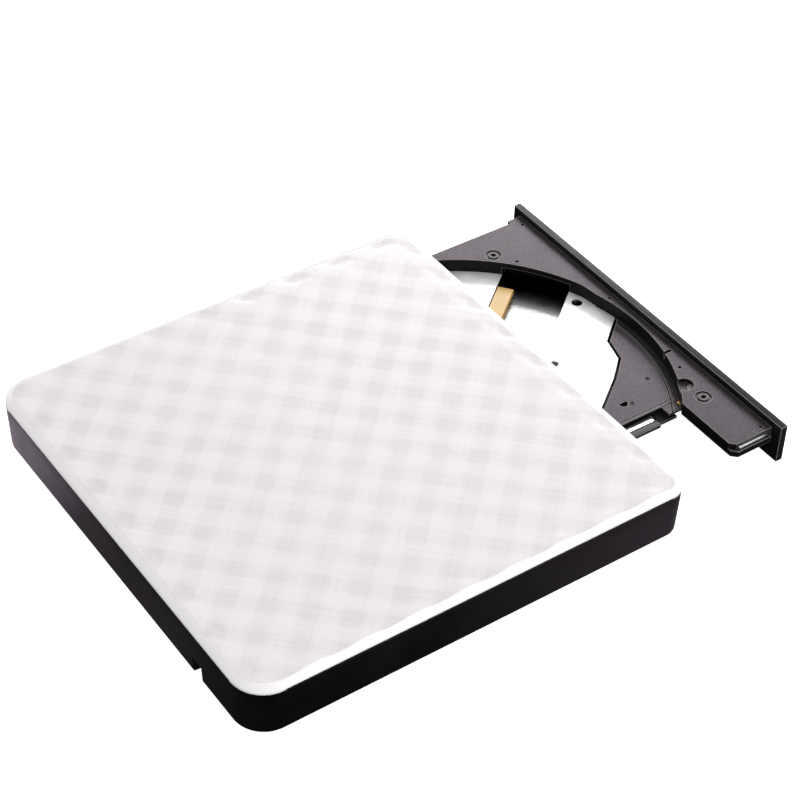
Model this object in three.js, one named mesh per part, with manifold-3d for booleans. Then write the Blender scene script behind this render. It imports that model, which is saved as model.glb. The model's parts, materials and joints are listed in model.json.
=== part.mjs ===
// External optical drive: a slim disc drive with a pull-out tray, in a two-part case.
// Millimetres, +Z up. The origin is the centre of the base's flat underside, and the tray opens towards -Y.
// Everything on the tray is drawn where it is with the tray shut. Its group is then moved out by TRAY_OUT.
import * as THREE from 'three';
import { mergeVertices } from 'three/addons/utils/BufferGeometryUtils.js';
import Module from 'manifold-3d';

const wasm = await Module();
wasm.setup();

// Case
const CASE_WIDTH = 137.2;
const CASE_DEPTH = 138.7;
const BASE_TOP = 14.7;
const SEAM = 0.2;
const COVER_TOP = 16.9;
const REAR_RADIUS = 9.8;
const FRONT_RADIUS = 6;
const DRAFT = 0.5;
const BASE_WALL = 1.6;
const BASE_FLOOR = 1.4;
const COVER_ROOF = 1.3;
const COVER_EDGE_WIDTH = 2.6;
const MOUTH_HALF = 62.7;
const POST = { x: 61.5, y: 62.9, radius: 2.5 };
const FOOT = { x: 60, rearY: 61.5, frontY: -60, radius: 5, drop: 0.6 };
const CABLE_SLOT = { x0: -44.1, x1: -39.5, y0: 61.8, top: 5.6 };

// Drive chassis
const CHASSIS = { half: 63.5, front: -66.3, rear: 59.5, bottom: 3, top: 12.5, sheet: 0.4 };
const BOARD_TOP = 5.7;
const PLUG = { x0: -58.2, x1: -38.8, y0: 55, y1: 60.4, z0: 5.8, z1: 10.6 };

// Telescopic rails
const RAIL_LOW = 4.7;
const RAIL_HIGH = 5.9;
const RAIL_FRONT = -66.2;
const RAIL_REAR = 52;

// Tray, with the disc recess round the spindle
const TRAY_OUT = 40.8;
const HUB = { x: -0.6, y: -3.75 };
const TRAY = { left: -31.6, right: 57.55, front: -67, rear: 56.9, bottom: 3.6, floor: 7, top: 11.2 };
const WING = { left: -58.7, rear: -52.4, bottom: 7.2 };
const SKIN = 1.5;
const RECESS_RADIUS = 61;
const WIDE_RECESS_RADIUS = 62;
const DECK_LOW = 6.5;
const DECK_HIGH = 6.9;
const DECK_GAP = 0.9;
const DECK_LEDGE = 1.8;
const UNDER_COVER_TOP = 3.9;

// Bezel and what shows in it
const BEZEL = { half: 62.28, front: -CASE_DEPTH / 2, back: -67.1, low: 0.7, high: 13.25 };
const CONTROLS_Z = 7;
const BUTTON_X = 40;
const LED_X = 31;
const PINHOLE_X = 48;

// Sled, in its own frame: +X runs outwards from the hub along the guide rods
const SLED_ANGLE = -51.3 * Math.PI / 180;
const SLOT = { low: -15.5, high: 6 };
const ROD_RADIUS = 0.8;
const ROD_Z = 5.2;
const ROD_A = 8.4;
const ROD_B = -16.9;
const SCREW_LINE = 12;
const LENS_AT = 23;

// Latch
const LATCH_PIVOT = { x: 53.2, y: -52 };
const LATCH_LOW = 7.3;
const LATCH_HIGH = 9;

// ---- shapes ----

function solidOf(geometry) {
  geometry.deleteAttribute('normal');
  geometry.deleteAttribute('uv');
  const merged = mergeVertices(geometry, 1e-5);
  const vertProperties = new Float32Array(merged.attributes.position.array);
  const triVerts = new Uint32Array(merged.index.array);
  return new wasm.Manifold(new wasm.Mesh({ numProp: 3, vertProperties, triVerts }));
}

function boxGeometry(x0, x1, y0, y1, z0, z1) {
  const geometry = new THREE.BoxGeometry(x1 - x0, y1 - y0, z1 - z0);
  return geometry.translate((x0 + x1) / 2, (y0 + y1) / 2, (z0 + z1) / 2);
}

function box(x0, x1, y0, y1, z0, z1) {
  return solidOf(boxGeometry(x0, x1, y0, y1, z0, z1));
}

// A box given in the sled's frame, placed in the tray's frame.
function sledBox(x0, x1, y0, y1, z0, z1) {
  const geometry = boxGeometry(x0, x1, y0, y1, z0, z1);
  return solidOf(geometry.rotateZ(SLED_ANGLE).translate(HUB.x, HUB.y, 0));
}

function post(x, y, radius, z0, z1, sides = 32) {
  const geometry = new THREE.CylinderGeometry(radius, radius, z1 - z0, sides);
  return solidOf(geometry.rotateX(Math.PI / 2).translate(x, y, (z0 + z1) / 2));
}

function rodAlongX(x0, x1, y, z, radius, sides = 16) {
  const geometry = new THREE.CylinderGeometry(radius, radius, x1 - x0, sides);
  return solidOf(geometry.rotateZ(Math.PI / 2).translate((x0 + x1) / 2, y, z));
}

function rodAlongY(x, y0, y1, z, radius, sides = 16) {
  const geometry = new THREE.CylinderGeometry(radius, radius, y1 - y0, sides);
  return solidOf(geometry.translate(x, (y0 + y1) / 2, z));
}

function extruded(outline, depth) {
  const shape = new THREE.Shape(outline.map(([x, y]) => new THREE.Vector2(x, y)));
  return new THREE.ExtrudeGeometry(shape, { depth, bevelEnabled: false });
}

function prism(outline, z0, z1) {
  return solidOf(extruded(outline, z1 - z0).translate(0, 0, z0));
}

// An (x, z) section run along Y.
function beamAlongY(section, y0, y1) {
  return solidOf(extruded(section, y1 - y0).rotateX(Math.PI / 2).translate(0, y1, 0));
}

// A (y, z) section run along X.
function beamAlongX(section, x0, x1) {
  return solidOf(extruded(section, x1 - x0).rotateX(Math.PI / 2).rotateZ(Math.PI / 2).translate(x0, 0, 0));
}

function turned(profile, sides = 40) {
  const points = profile.map(([r, z]) => new THREE.Vector2(r, z));
  return solidOf(new THREE.LatheGeometry(points, sides).rotateX(Math.PI / 2));
}

function joined(...solids) {
  return solids.reduce((whole, solid) => whole.add(solid));
}

function cut(whole, ...solids) {
  return solids.reduce((left, solid) => left.subtract(solid), whole);
}

function arc(cx, cy, radius, from, to, steps) {
  const points = [];
  for (let i = 0; i <= steps; i += 1) {
    const angle = (from + (to - from) * i / steps) * Math.PI / 180;
    points.push([cx + radius * Math.cos(angle), cy + radius * Math.sin(angle)]);
  }
  return points;
}

// The case's plan outline, moved in by inset, counter-clockwise from the right front corner.
function caseOutline(inset) {
  const x = CASE_WIDTH / 2 - inset;
  const y = CASE_DEPTH / 2 - inset;
  const front = FRONT_RADIUS - inset;
  const rear = REAR_RADIUS - inset;
  return [
    ...arc(x - front, -y + front, front, -90, 0, 6),
    ...arc(x - rear, y - rear, rear, 0, 90, 8),
    ...arc(-x + rear, y - rear, rear, 90, 180, 8),
    ...arc(-x + front, -y + front, front, 180, 270, 6),
  ];
}

// A closed skin through outlines of equal length, each at its own height.
function loft(layers) {
  const size = layers[0].outline.length;
  const positions = layers.flatMap(({ outline, z }) => outline.flatMap(([x, y]) => [x, y, z]));
  const index = [];
  for (let k = 0; k + 1 < layers.length; k += 1) {
    for (let i = 0; i < size; i += 1) {
      const a = k * size + i;
      const b = k * size + (i + 1) % size;
      index.push(a, b, b + size, a, b + size, a + size);
    }
  }
  const flat = layers[0].outline.map(([x, y]) => new THREE.Vector2(x, y));
  const top = (layers.length - 1) * size;
  for (const [a, b, c] of THREE.ShapeUtils.triangulateShape(flat, [])) {
    index.push(c, b, a, top + a, top + b, top + c);
  }
  const geometry = new THREE.BufferGeometry();
  geometry.setAttribute('position', new THREE.Float32BufferAttribute(positions, 3));
  geometry.setIndex(index);
  return solidOf(geometry);
}

// The outline moved in by distance, side by side, for a counter-clockwise polygon.
function inset(outline, distance) {
  const sides = outline.map(([x, y], i) => {
    const [nx, ny] = outline[(i + 1) % outline.length];
    const length = Math.hypot(nx - x, ny - y);
    const along = [(nx - x) / length, (ny - y) / length];
    return { at: [x - along[1] * distance, y + along[0] * distance], along };
  });
  return sides.map((side, i) => {
    const last = sides[(i + sides.length - 1) % sides.length];
    const cross = last.along[0] * side.along[1] - last.along[1] * side.along[0];
    const dx = side.at[0] - last.at[0];
    const dy = side.at[1] - last.at[1];
    const t = (dx * side.along[1] - dy * side.along[0]) / cross;
    return [last.at[0] + last.along[0] * t, last.at[1] + last.along[1] * t];
  });
}

function piece(name, solid, color, roughness, metalness = 0) {
  const { vertProperties, triVerts } = solid.getMesh();
  const geometry = new THREE.BufferGeometry();
  geometry.setAttribute('position', new THREE.BufferAttribute(vertProperties, 3));
  geometry.setIndex(new THREE.BufferAttribute(triVerts, 1));
  geometry.computeVertexNormals();
  const mesh = new THREE.Mesh(geometry, new THREE.MeshStandardMaterial({ color, roughness, metalness }));
  mesh.name = name;
  return mesh;
}

// ---- case ----

function baseShell() {
  const outer = loft([
    { outline: caseOutline(DRAFT), z: 0 },
    { outline: caseOutline(0), z: BASE_TOP },
  ]);
  const hollow = loft([
    { outline: caseOutline(BASE_WALL + DRAFT), z: BASE_FLOOR },
    { outline: caseOutline(BASE_WALL), z: BASE_TOP + 1 },
  ]);
  const mouth = box(-MOUTH_HALF, MOUTH_HALF, -CASE_DEPTH / 2 - 1, -66.9, -1, BASE_TOP + 1);
  let shell = cut(outer, hollow, mouth);
  for (const x of [-48, 48]) {
    shell = shell.add(box(x - 1, x + 1, -60, 52, BASE_FLOOR - 0.2, CHASSIS.bottom - 0.1));
  }
  for (const y of [-58, 0, 50]) {
    shell = shell.add(box(-48, 48, y - 1, y + 1, BASE_FLOOR - 0.2, CHASSIS.bottom - 0.1));
  }
  for (const side of [-1, 1]) {
    shell = shell.add(post(side * POST.x, POST.y, 3.1, BASE_FLOOR - 0.2, 3.2));
    shell = shell.subtract(post(side * POST.x, POST.y, 1, -1, 4, 20));
    shell = shell.subtract(post(side * POST.x, POST.y, 2.1, -1, 2, 24));
    for (const y of [FOOT.rearY, FOOT.frontY]) {
      shell = shell.subtract(post(side * FOOT.x, y, FOOT.radius + 0.2, -1, FOOT.drop));
    }
  }
  const { x0, x1, y0, top } = CABLE_SLOT;
  shell = shell.add(box(x0 - 1.1, x1 + 1.1, y0 - 1.2, CASE_DEPTH / 2 - 1.2, 0.2, top + 1.1));
  shell = shell.subtract(box(x0, x1, y0, CASE_DEPTH / 2 + 5, -1, top));
  shell = shell.subtract(box(x1 - 1, x1 + 2, y0 + 0.4, y0 + 2.6, 1.8, 4.4));
  return piece('base_shell', shell, 0x17161a, 0.45);
}

function topCover() {
  const low = BASE_TOP + SEAM;
  const straight = 0.5;
  const rise = COVER_TOP - low - straight;
  const layers = [{ outline: caseOutline(0), z: low }];
  const steps = 5;
  for (let i = 0; i <= steps; i += 1) {
    const turn = i / steps * Math.PI / 2;
    const z = low + straight + rise * Math.sin(turn);
    layers.push({ outline: caseOutline(COVER_EDGE_WIDTH * (1 - Math.cos(turn))), z });
  }
  const hollow = prism(caseOutline(BASE_WALL + 0.2), low - 1, COVER_TOP - COVER_ROOF);
  const tongueOuter = prism(caseOutline(BASE_WALL + 0.3), 13.6, COVER_TOP - COVER_ROOF + 0.2);
  const tongueInner = prism(caseOutline(BASE_WALL + 1.3), 13, COVER_TOP - COVER_ROOF);
  let cover = joined(loft(layers).subtract(hollow), tongueOuter.subtract(tongueInner));
  cover = cover.add(box(-62.4, 62.4, -CASE_DEPTH / 2, -67.6, 13.5, low + 0.3));
  for (const side of [-1, 1]) {
    cover = cover.add(post(side * POST.x, POST.y, POST.radius, 3.4, COVER_TOP - COVER_ROOF + 0.2, 24));
    cover = cover.subtract(post(side * POST.x, POST.y, 0.85, 3, 9.4, 16));
  }
  return piece('top_cover', cover, 0xf2eff2, 0.25);
}

function foot(name, side, y) {
  const { radius, drop } = FOOT;
  const pad = turned([[0, -drop], [radius - 0.6, -drop], [radius, -0.2], [radius, 0.5], [0, 0.5]], 32);
  const mesh = piece(name, pad, 0x1c1c1e, 0.8);
  mesh.position.set(side * FOOT.x, y, 0);
  return mesh;
}

function caseScrew(name, side) {
  const head = [[0, 0.8], [1.8, 0.8], [1.8, 1.7], [0.7, 1.7]];
  const mesh = piece(name, turned([...head, [0.7, 8], [0, 8.6]], 20), 0x8d8f94, 0.35, 1);
  mesh.position.set(side * POST.x, POST.y, 0);
  return mesh;
}

function cableGland() {
  const { x0, x1, y0 } = CABLE_SLOT;
  const y1 = y0 + 2.9;
  const block = box(x0 + 0.2, x1 - 0.2, y0 + 0.2, y1, 0.5, 5.3);
  const neck = box(x1 - 0.3, x1 + 1.9, y0 + 0.6, y0 + 2.4, 2, 4.2);
  const bore = rodAlongY((x0 + x1) / 2, y1 - 1.6, y1 + 1, 2.9, 1.75, 24);
  return piece('cable_gland', block.add(neck).subtract(bore), 0x141416, 0.7);
}

function bridgeBoard() {
  const boardLow = 7.2;
  const boardHigh = 8.2;
  const board = box(-58.6, 10, 61.2, 66.2, boardLow, boardHigh);
  const chip = box(-20, -13, 61.6, 65.8, boardHigh + 0.05, boardHigh + 1.1);
  const { x0, x1, y1 } = PLUG;
  const body = box(x0, x1, y1 + 0.2, y1 + 4.6, boardHigh + 0.05, 10.9);
  const tongue = box(x0 + 2.2, x1 - 2.2, y1 - 2, y1 + 0.4, 8.8, 9.6);
  return [
    piece('bridge_board', board, 0x1f5a35, 0.5),
    piece('bridge_chip', chip, 0x1a1a1c, 0.5),
    piece('sata_socket', body.add(tongue), 0x1b1b1d, 0.5),
  ];
}

function foamPad(name, y) {
  const pad = box(-45, 45, y - 5, y + 5, CHASSIS.top + 0.05, COVER_TOP - COVER_ROOF - 0.1);
  return piece(name, pad, 0x2b2b2e, 0.95);
}

// ---- drive chassis ----

function chassisPan() {
  const { half, front, rear, bottom, sheet } = CHASSIS;
  const high = 11.9;
  const side = 0.5;
  const floor = box(-half, half, front, rear, bottom, bottom + sheet);
  const left = box(-half, -half + side, front, rear, bottom, high);
  const right = box(half - side, half, front, rear, bottom, high);
  const back = box(-half, half, rear - side, rear, bottom, high);
  const plugGap = box(PLUG.x0 - 0.4, PLUG.x1 + 0.4, rear - 2, rear + 2, 5, high + 1);
  return piece('chassis_pan', cut(joined(floor, left, right, back), plugGap), 0xb9bcc0, 0.35, 1);
}

function chassisLid() {
  const { half, front, rear, top, sheet } = CHASSIS;
  const outer = half + 0.7;
  const hem = 9.6;
  const roof = box(-outer, outer, front, rear + 0.7, top - sheet, top);
  const left = box(-outer, -outer + 0.5, front, rear + 0.7, hem, top);
  const right = box(outer - 0.5, outer, front, rear + 0.7, hem, top);
  const back = box(-outer, outer, rear + 0.2, rear + 0.7, hem, top);
  const plugGap = box(PLUG.x0 - 0.4, PLUG.x1 + 0.4, rear - 1, rear + 2, 5, 11.2);
  return piece('chassis_lid', cut(joined(roof, left, right, back), plugGap), 0xc4c6ca, 0.3, 1);
}

function mainBoard() {
  const low = BOARD_TOP - 1;
  const left = -62.6;
  const right = -38.9;
  let board = box(left, right, -58, 58.4, low, BOARD_TOP);
  for (const x of [left + 2.6, right - 2.6]) {
    for (const y of [-54, 50]) {
      board = board.add(post(x, y, 1.6, CHASSIS.bottom + CHASSIS.sheet + 0.1, low + 0.1, 16));
    }
  }
  const { x0, x1, y0, y1, z0, z1 } = PLUG;
  const cavity = box(x0 + 1.8, x1 - 1.8, y1 - 2.4, y1 + 1, 8.4, 10);
  return [
    piece('main_board', board, 0x245c38, 0.5),
    piece('controller_chip', box(-58, -44, 3, 17, BOARD_TOP + 0.05, 6.9), 0x19191b, 0.45),
    piece('motor_driver_chip', box(-55, -47, -22, -14, BOARD_TOP + 0.05, 6.7), 0x19191b, 0.45),
    piece('sata_plug', box(x0, x1, y0, y1, z0, z1).subtract(cavity), 0x202022, 0.5),
  ];
}

// A C section that faces +X, or -X for the right-hand guide, and holds one rail.
function guide(outerX, lipX, webX, y1) {
  const section = [
    [outerX, 3.45], [lipX, 3.45], [lipX, RAIL_LOW - 0.15], [webX, RAIL_LOW - 0.15],
    [webX, RAIL_HIGH + 0.15], [lipX, RAIL_HIGH + 0.15], [lipX, 6.9], [outerX, 6.9],
  ];
  return beamAlongY(section, -65.8, y1);
}

function guides() {
  const left = guide(-38.6, -35.4, -36.9, 54.5);
  const arm = box(60.8, 62.8, -62, -60.6, 6.5, 9.4);
  const catchLug = box(58.7, 62.8, -62, -60.6, 7.3, 9.4);
  const right = joined(guide(62.8, 60.7, 61.6, 58.5), arm, catchLug);
  return [
    piece('guide_left', left, 0x202024, 0.55),
    piece('guide_right', right, 0x202024, 0.55),
  ];
}

// ---- sliding rails, at half the tray's travel ----

function rail(name, x0, x1) {
  const groove = 0.5;
  const section = [
    [x0, RAIL_LOW], [x1, RAIL_LOW], [x1, RAIL_HIGH], [x1 - 0.8, RAIL_HIGH], [x1 - 0.8, RAIL_HIGH - groove],
    [x0 + 0.8, RAIL_HIGH - groove], [x0 + 0.8, RAIL_HIGH], [x0, RAIL_HIGH],
  ];
  return piece(name, beamAlongY(section, RAIL_FRONT, RAIL_REAR), 0xc8cacd, 0.3, 1);
}

// The flat flex to the tray: its fold rolls forward as the tray comes out.
function trayFlex() {
  const foldY = -60;
  const legEnd = 12;
  const low = 3.5;
  const high = 4.5;
  const thick = 0.15;
  const middle = (low + high) / 2;
  const outer = arc(foldY + 0.5, middle, (high - low) / 2, 270, 90, 8);
  const inner = arc(foldY + 0.5, middle, (high - low) / 2 - thick, 90, 270, 8);
  const upper = [[legEnd, high], [legEnd, high - thick]];
  const section = [[legEnd, low], ...outer, ...upper, ...inner, [legEnd, low + thick]];
  return piece('tray_flex', beamAlongX(section.reverse(), -29.5, -18.5), 0xc98a2b, 0.4);
}

// ---- tray ----

// The deck's outline, counter-clockwise; its front and right sides are trimmed by the recess.
const DECK_OUTLINE = [
  [7.6, -66], [60, -66], [60, 4], [42, 20], [-19, 20], [-27, 8], [-27, -29.2], [-14.2, -46.3], [-8.1, -52.9],
  [0, -55.1], [7.6, -64.3],
];

function recess(radiusChange, z0, z1) {
  const whole = post(HUB.x, HUB.y, RECESS_RADIUS + radiusChange, z0, z1, 120);
  const wide = post(HUB.x, HUB.y, WIDE_RECESS_RADIUS + radiusChange, z0, z1, 120);
  const slope = [[15, 0], [15, -62.7], [21, -61.86], [21, -80], [80, -80], [80, 0]];
  return whole.add(wide.intersect(prism(slope, z0 - 1, z1 + 1)));
}

// A slab of the wing with its outer rear corner cut off.
function wingSlab(x0, x1, y0, z1) {
  const corner = 1.6;
  const y1 = WING.rear;
  return prism([[x0, y0], [x1, y0], [x1, y1], [x0 + corner, y1], [x0, y1 - corner]], WING.bottom, z1);
}

function trayBody() {
  const { left, right, front, rear, bottom, top } = TRAY;
  return joined(
    box(left, right, front, rear, bottom, top),
    box(right - 0.1, 58.95, front, -62.1, WING.bottom, top),
    wingSlab(WING.left, left + 0.1, front, top),
    wingSlab(WING.left - 1.2, WING.left + 2, -66, 9.2),
    box(left - 3.3, left + 0.1, -53.2, 56, bottom, 4.45),
    box(right - 0.1, right + 2.75, -62, 56, bottom, 4.45),
    box(-35.2, left + 0.1, -57.6, -49.8, 6.1, 6.9),
  );
}

function trayHollows() {
  const { left, right, front, rear, floor, top } = TRAY;
  const inLeft = left + 1.8;
  const inRight = right - SKIN;
  const inFront = front + 1.6;
  const inRear = rear - SKIN;
  const wallRing = post(HUB.x, HUB.y, 63.5, 0, 20, 120);
  return [
    recess(0, floor, top + 5),
    prism(inset(DECK_OUTLINE, -DECK_GAP), DECK_LOW - 0.05, floor + 0.5).intersect(recess(0, 5, 9)),
    prism(inset(DECK_OUTLINE, DECK_LEDGE), 2, 9).intersect(post(HUB.x, HUB.y, 59.5, 2, 9, 120))
      .intersect(box(-40, inRight, -80, 80, 1, 10)),
    box(inLeft, inRight, inFront, inRear, 2, top - SKIN).subtract(wallRing),
    box(WING.left + 1.4, left + 0.6, inFront, WING.rear - 1.6, 6, 9.8).subtract(wallRing),
    box(left + 1.2, -17, inFront, inRear, 2, 5.8),
    box(-17.1, inRight, inFront, inRear, 2, 4.2),
    box(left + 1.2, -17, inRear - 1, rear + 1, 2, 4.8),
    box(-60, -57.8, -66.3, -54.4, 9.2, 10.3),
    sledBox(52, 68, SLOT.low - 0.1, SLOT.high + 0.2, 2, 9.3),
    sledBox(54, 63.4, SLOT.high, 14.7, 2, DECK_LOW - 0.05),
    sledBox(54, 59, -21, SLOT.low, 2, DECK_LOW - 0.05),
  ];
}

function trayOpenings() {
  const { top, front } = TRAY;
  const bosses = [[47.4, -48], [-38.2, -59.3]];
  return [
    ...bosses.map(([x, y]) => post(x, y, 3, top - 0.45, top + 1)),
    ...bosses.map(([x, y]) => post(x, y, 0.9, 8, top + 1, 16)),
    post(-31.2, -58.2, 2.7, top - 1.3, top + 1, 28),
    box(BUTTON_X - 1.4, BUTTON_X + 1.4, front - 1, front + 2, CONTROLS_Z - 1.1, CONTROLS_Z + 1.1),
    rodAlongY(LED_X, front - 1, front + 2, CONTROLS_Z, 1.15),
    rodAlongY(PINHOLE_X, front - 1, front + 2, CONTROLS_Z, 0.8, 12),
    box(55.5, 60, -61.2, -55.2, LATCH_LOW - 0.2, LATCH_HIGH + 0.3),
  ];
}

function trayFrame() {
  const pin = post(LATCH_PIVOT.x, LATCH_PIVOT.y, 0.9, LATCH_LOW, TRAY.top - SKIN + 0.2, 16);
  const slotEnd = sledBox(66.1, 67.3, SLOT.low - 0.2, SLOT.high + 0.4, 4.3, TRAY.top - SKIN + 0.2);
  const body = cut(trayBody(), ...trayHollows(), ...trayOpenings()).add(pin).add(slotEnd);
  return piece('tray_frame', body, 0x4a474b, 0.6);
}

function deckPlate() {
  const sheet = prism(DECK_OUTLINE, DECK_LOW, DECK_HIGH)
    .intersect(recess(-0.2, 5, 9))
    .intersect(box(-40, TRAY.right - 0.6, -80, 80, 5, 9));
  const holes = [
    sledBox(0, 75, SLOT.low, SLOT.high, 5, 9),
    post(HUB.x, HUB.y, 15.5, 5, 9, 48),
    post(19.2, -58.9, 1.7, 5, 9, 20),
    ...DECK_SCREWS.map(([x, y]) => post(x, y, 1.35, 5, 9, 16)),
  ];
  return piece('deck_plate', cut(sheet, ...holes), 0xd9dbde, 0.12, 1);
}

const DECK_SCREWS = [[0.2, -35.7], [44, -8], [-12, 14]];

function deckScrew(name, [x, y]) {
  const profile = [[0, 4.4], [0.5, 4.4], [0.5, 6.5], [1.15, 6.5], [1.15, 7], [0, 7]];
  const mesh = piece(name, turned(profile, 16), 0x8d8f94, 0.3, 1);
  mesh.position.set(x, y, 0);
  return mesh;
}

function underCover() {
  const sheet = box(-16.8, TRAY.right - 1.8, -65.1, 55.1, TRAY.bottom, UNDER_COVER_TOP);
  let cover = sheet.subtract(post(HUB.x, HUB.y, 5, 2, 6));
  for (const [x, y] of DECK_SCREWS) {
    cover = cover.add(post(x, y, 1, UNDER_COVER_TOP - 0.1, DECK_LOW - 0.1, 16));
    cover = cover.subtract(post(x, y, 0.6, UNDER_COVER_TOP + 0.2, 9, 12));
  }
  return piece('under_cover', cover, 0xc4c7ca, 0.15, 1);
}

function wingRail() {
  return piece('wing_rail', box(-59.4, -58, -66.1, -54.6, 9.35, 10.15), 0xc8cacd, 0.25, 1);
}

function groundSpring() {
  return piece('ground_spring', box(-34.4, -32.6, -55.8, -54.6, 6.95, 7.2), 0xb98a3a, 0.35, 1);
}

function bezel() {
  const { half, front, back, low, high } = BEZEL;
  const buttonHole = box(BUTTON_X - 5.2, BUTTON_X + 5.2, front - 1, back + 1, CONTROLS_Z - 2, CONTROLS_Z + 2);
  const plate = cut(
    box(-half, half, front, back, low, high),
    buttonHole,
    rodAlongY(LED_X, front - 1, back + 1, CONTROLS_Z, 1.05),
    rodAlongY(PINHOLE_X, front - 1, back + 1, CONTROLS_Z, 0.6, 12),
  );
  return piece('bezel', plate, 0x2b292c, 0.5);
}

function ledLens() {
  return piece('led_lens', rodAlongY(LED_X, BEZEL.front - 0.1, -65.6, CONTROLS_Z, 0.9), 0x9fd8a8, 0.2);
}

function ejectButton() {
  const cap = box(BUTTON_X - 5, BUTTON_X + 5, BEZEL.front - 0.4, -67.9, CONTROLS_Z - 1.8, CONTROLS_Z + 1.8);
  const stem = box(BUTTON_X - 1, BUTTON_X + 1, -68, -64.8, CONTROLS_Z - 0.8, CONTROLS_Z + 0.8);
  return piece('eject_button', cap.add(stem), 0x343236, 0.45);
}

function trayElectronics() {
  const coil = joined(box(48, 53.6, -64.6, -59, 4.2, 8.8), rodAlongY(50.8, -59.2, -57.2, 8.1, 0.8, 12));
  return [
    piece('tray_board', box(36.6, 47, -65.2, -61.3, 8.4, 9.2), 0x245c38, 0.5),
    piece('eject_switch', box(BUTTON_X - 2.2, BUTTON_X + 2.2, -64, -61.7, 6.2, 8.3), 0x222224, 0.5),
    piece('solenoid', coil, 0x7a5a30, 0.5, 0.6),
  ];
}

function latchHook() {
  const { x, y } = LATCH_PIVOT;
  const outline = [[x - 1.6, y], [x + 1.6, y], [56.4, -57.2], [59.7, -57.9], [59.7, -60.1], [55.9, -60.1]];
  const arm = prism(outline, LATCH_LOW, LATCH_HIGH);
  const eye = post(x, y, 1.9, LATCH_LOW, LATCH_HIGH, 24);
  const bore = post(x, y, 1.05, LATCH_LOW - 1, LATCH_HIGH + 1, 16);
  return piece('latch_hook', arm.add(eye).subtract(bore), 0xd8d6d0, 0.5);
}

// ---- spindle ----

function spindleBase() {
  const ring = turned([[1.2, 4], [13, 4], [13, 4.6], [3, 4.6], [3, 6], [1.2, 6], [1.2, 4]]);
  return piece('spindle_base', ring, 0xa9acb0, 0.4, 1);
}

const CLAW_ANGLES = [90, 210, 330];

function turntable() {
  const shaft = [[0, 4.1], [1, 4.1], [1, 6.3]];
  const rotor = [...shaft, [10.9, 6.3], [10.9, 4.9], [12.4, 4.9], [12.4, 7.6], [11.9, 7.8]];
  const seat = [[11.9, 9], [11.6, 9], [11.6, 8.7], [9.6, 8.7], [9.6, 9], [7.35, 9]];
  const hub = [[7.35, 10.2], [6.4, 11.2], [2.4, 11.4], [0, 11.4]];
  let table = turned([...rotor, ...seat, ...hub], 48);
  for (const angle of CLAW_ANGLES) {
    const slot = boxGeometry(4.6, 9, -1.5, 1.5, 9.25, 10.95).rotateZ(angle * Math.PI / 180);
    table = table.subtract(solidOf(slot));
  }
  return piece('turntable', table, 0x3a3a3e, 0.35, 0.3);
}

function rubberRing() {
  const ring = [[9.75, 8.72], [11.45, 8.72], [11.45, 9.2], [9.75, 9.2], [9.75, 8.72]];
  return piece('turntable_rubber', turned(ring, 40), 0x2a2a2a, 0.9);
}

function claw(name, angle) {
  const section = [[5.4, -1.3], [7.3, -1.3], [7.75, -0.7], [7.75, 0.7], [7.3, 1.3], [5.4, 1.3]];
  const mesh = piece(name, prism(section, 9.4, 10.75), 0xe6e4de, 0.4);
  mesh.rotation.z = angle * Math.PI / 180;
  return mesh;
}

// ---- sled, in its own frame ----

function rod(name, line, x1) {
  return piece(name, rodAlongX(13.4, x1, line, ROD_Z, ROD_RADIUS), 0xd5d7da, 0.15, 1);
}

// A block that holds one end of a guide rod in a blind bore.
function rodHolder(name, x0, x1, line, mouth) {
  const block = box(x0, x1, line - 1.9, line + 1.9, 4.05, 6.35);
  const [from, to] = mouth > 0 ? [x0 + 0.5, x1 + 1] : [x0 - 1, x1 - 0.5];
  const bore = rodAlongX(from, to, line, ROD_Z, ROD_RADIUS + 0.12);
  return piece(name, block.subtract(bore), 0x3a3a3d, 0.6);
}

function stepperMotor() {
  const can = rodAlongX(63.7, 70.4, SCREW_LINE, 5.5, 2.8, 24).intersect(box(60, 75, 5, 20, 4.05, 6.95));
  return piece('stepper_motor', can, 0xb4b6ba, 0.3, 1);
}

function leadScrew() {
  const pitch = 3;
  let screw = rodAlongX(16, 63.3, SCREW_LINE, ROD_Z, 0.75, 12);
  for (let x = 18; x < 60; x += pitch) {
    screw = screw.add(rodAlongX(x, x + pitch / 2, SCREW_LINE, ROD_Z, 1, 12));
  }
  return piece('lead_screw', screw, 0xc9b27a, 0.25, 1);
}

function pickupFlex() {
  const foldX = 56.2;
  const low = 4.5;
  const high = 6.85;
  const thick = 0.15;
  const middle = (low + high) / 2;
  const radius = (high - low) / 2;
  const outer = arc(foldX - radius, middle, radius, -90, 90, 8);
  const inner = arc(foldX - radius, middle, radius - thick, 90, -90, 8);
  const section = [[33, low], ...outer, [30.2, high], [30.2, high - thick], ...inner, [33, low + thick]];
  const strip = solidOf(extruded(section, 4.8).rotateX(Math.PI / 2).translate(0, 5.6, 0));
  return piece('pickup_flex', strip, 0xe0b25a, 0.35);
}

function pickup() {
  const body = box(15.5, 29.5, -14.7, 5.2, 4.3, 7.4);
  const web = box(15.5, 22.5, 5, 6, 5, 6.35);
  const bearing = box(15.5, 22.5, 5.9, 10.2, 4.05, 6.35);
  const fork = box(16.5, 20.5, -17.9, -14.6, 4.05, 6.35);
  const bores = [
    rodAlongX(10, 30, ROD_A, ROD_Z, ROD_RADIUS + 0.12),
    rodAlongX(10, 30, ROD_B, ROD_Z, ROD_RADIUS + 0.12),
    box(10, 30, -21, ROD_B, ROD_Z - 0.85, ROD_Z + 0.85),
  ];
  const seat = box(18.7, 27.3, -4.2, 4.2, 6.8, 8);
  return piece('pickup_body', cut(joined(body, web, bearing, fork), ...bores, seat), 0x8e9095, 0.4, 0.8);
}

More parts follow.
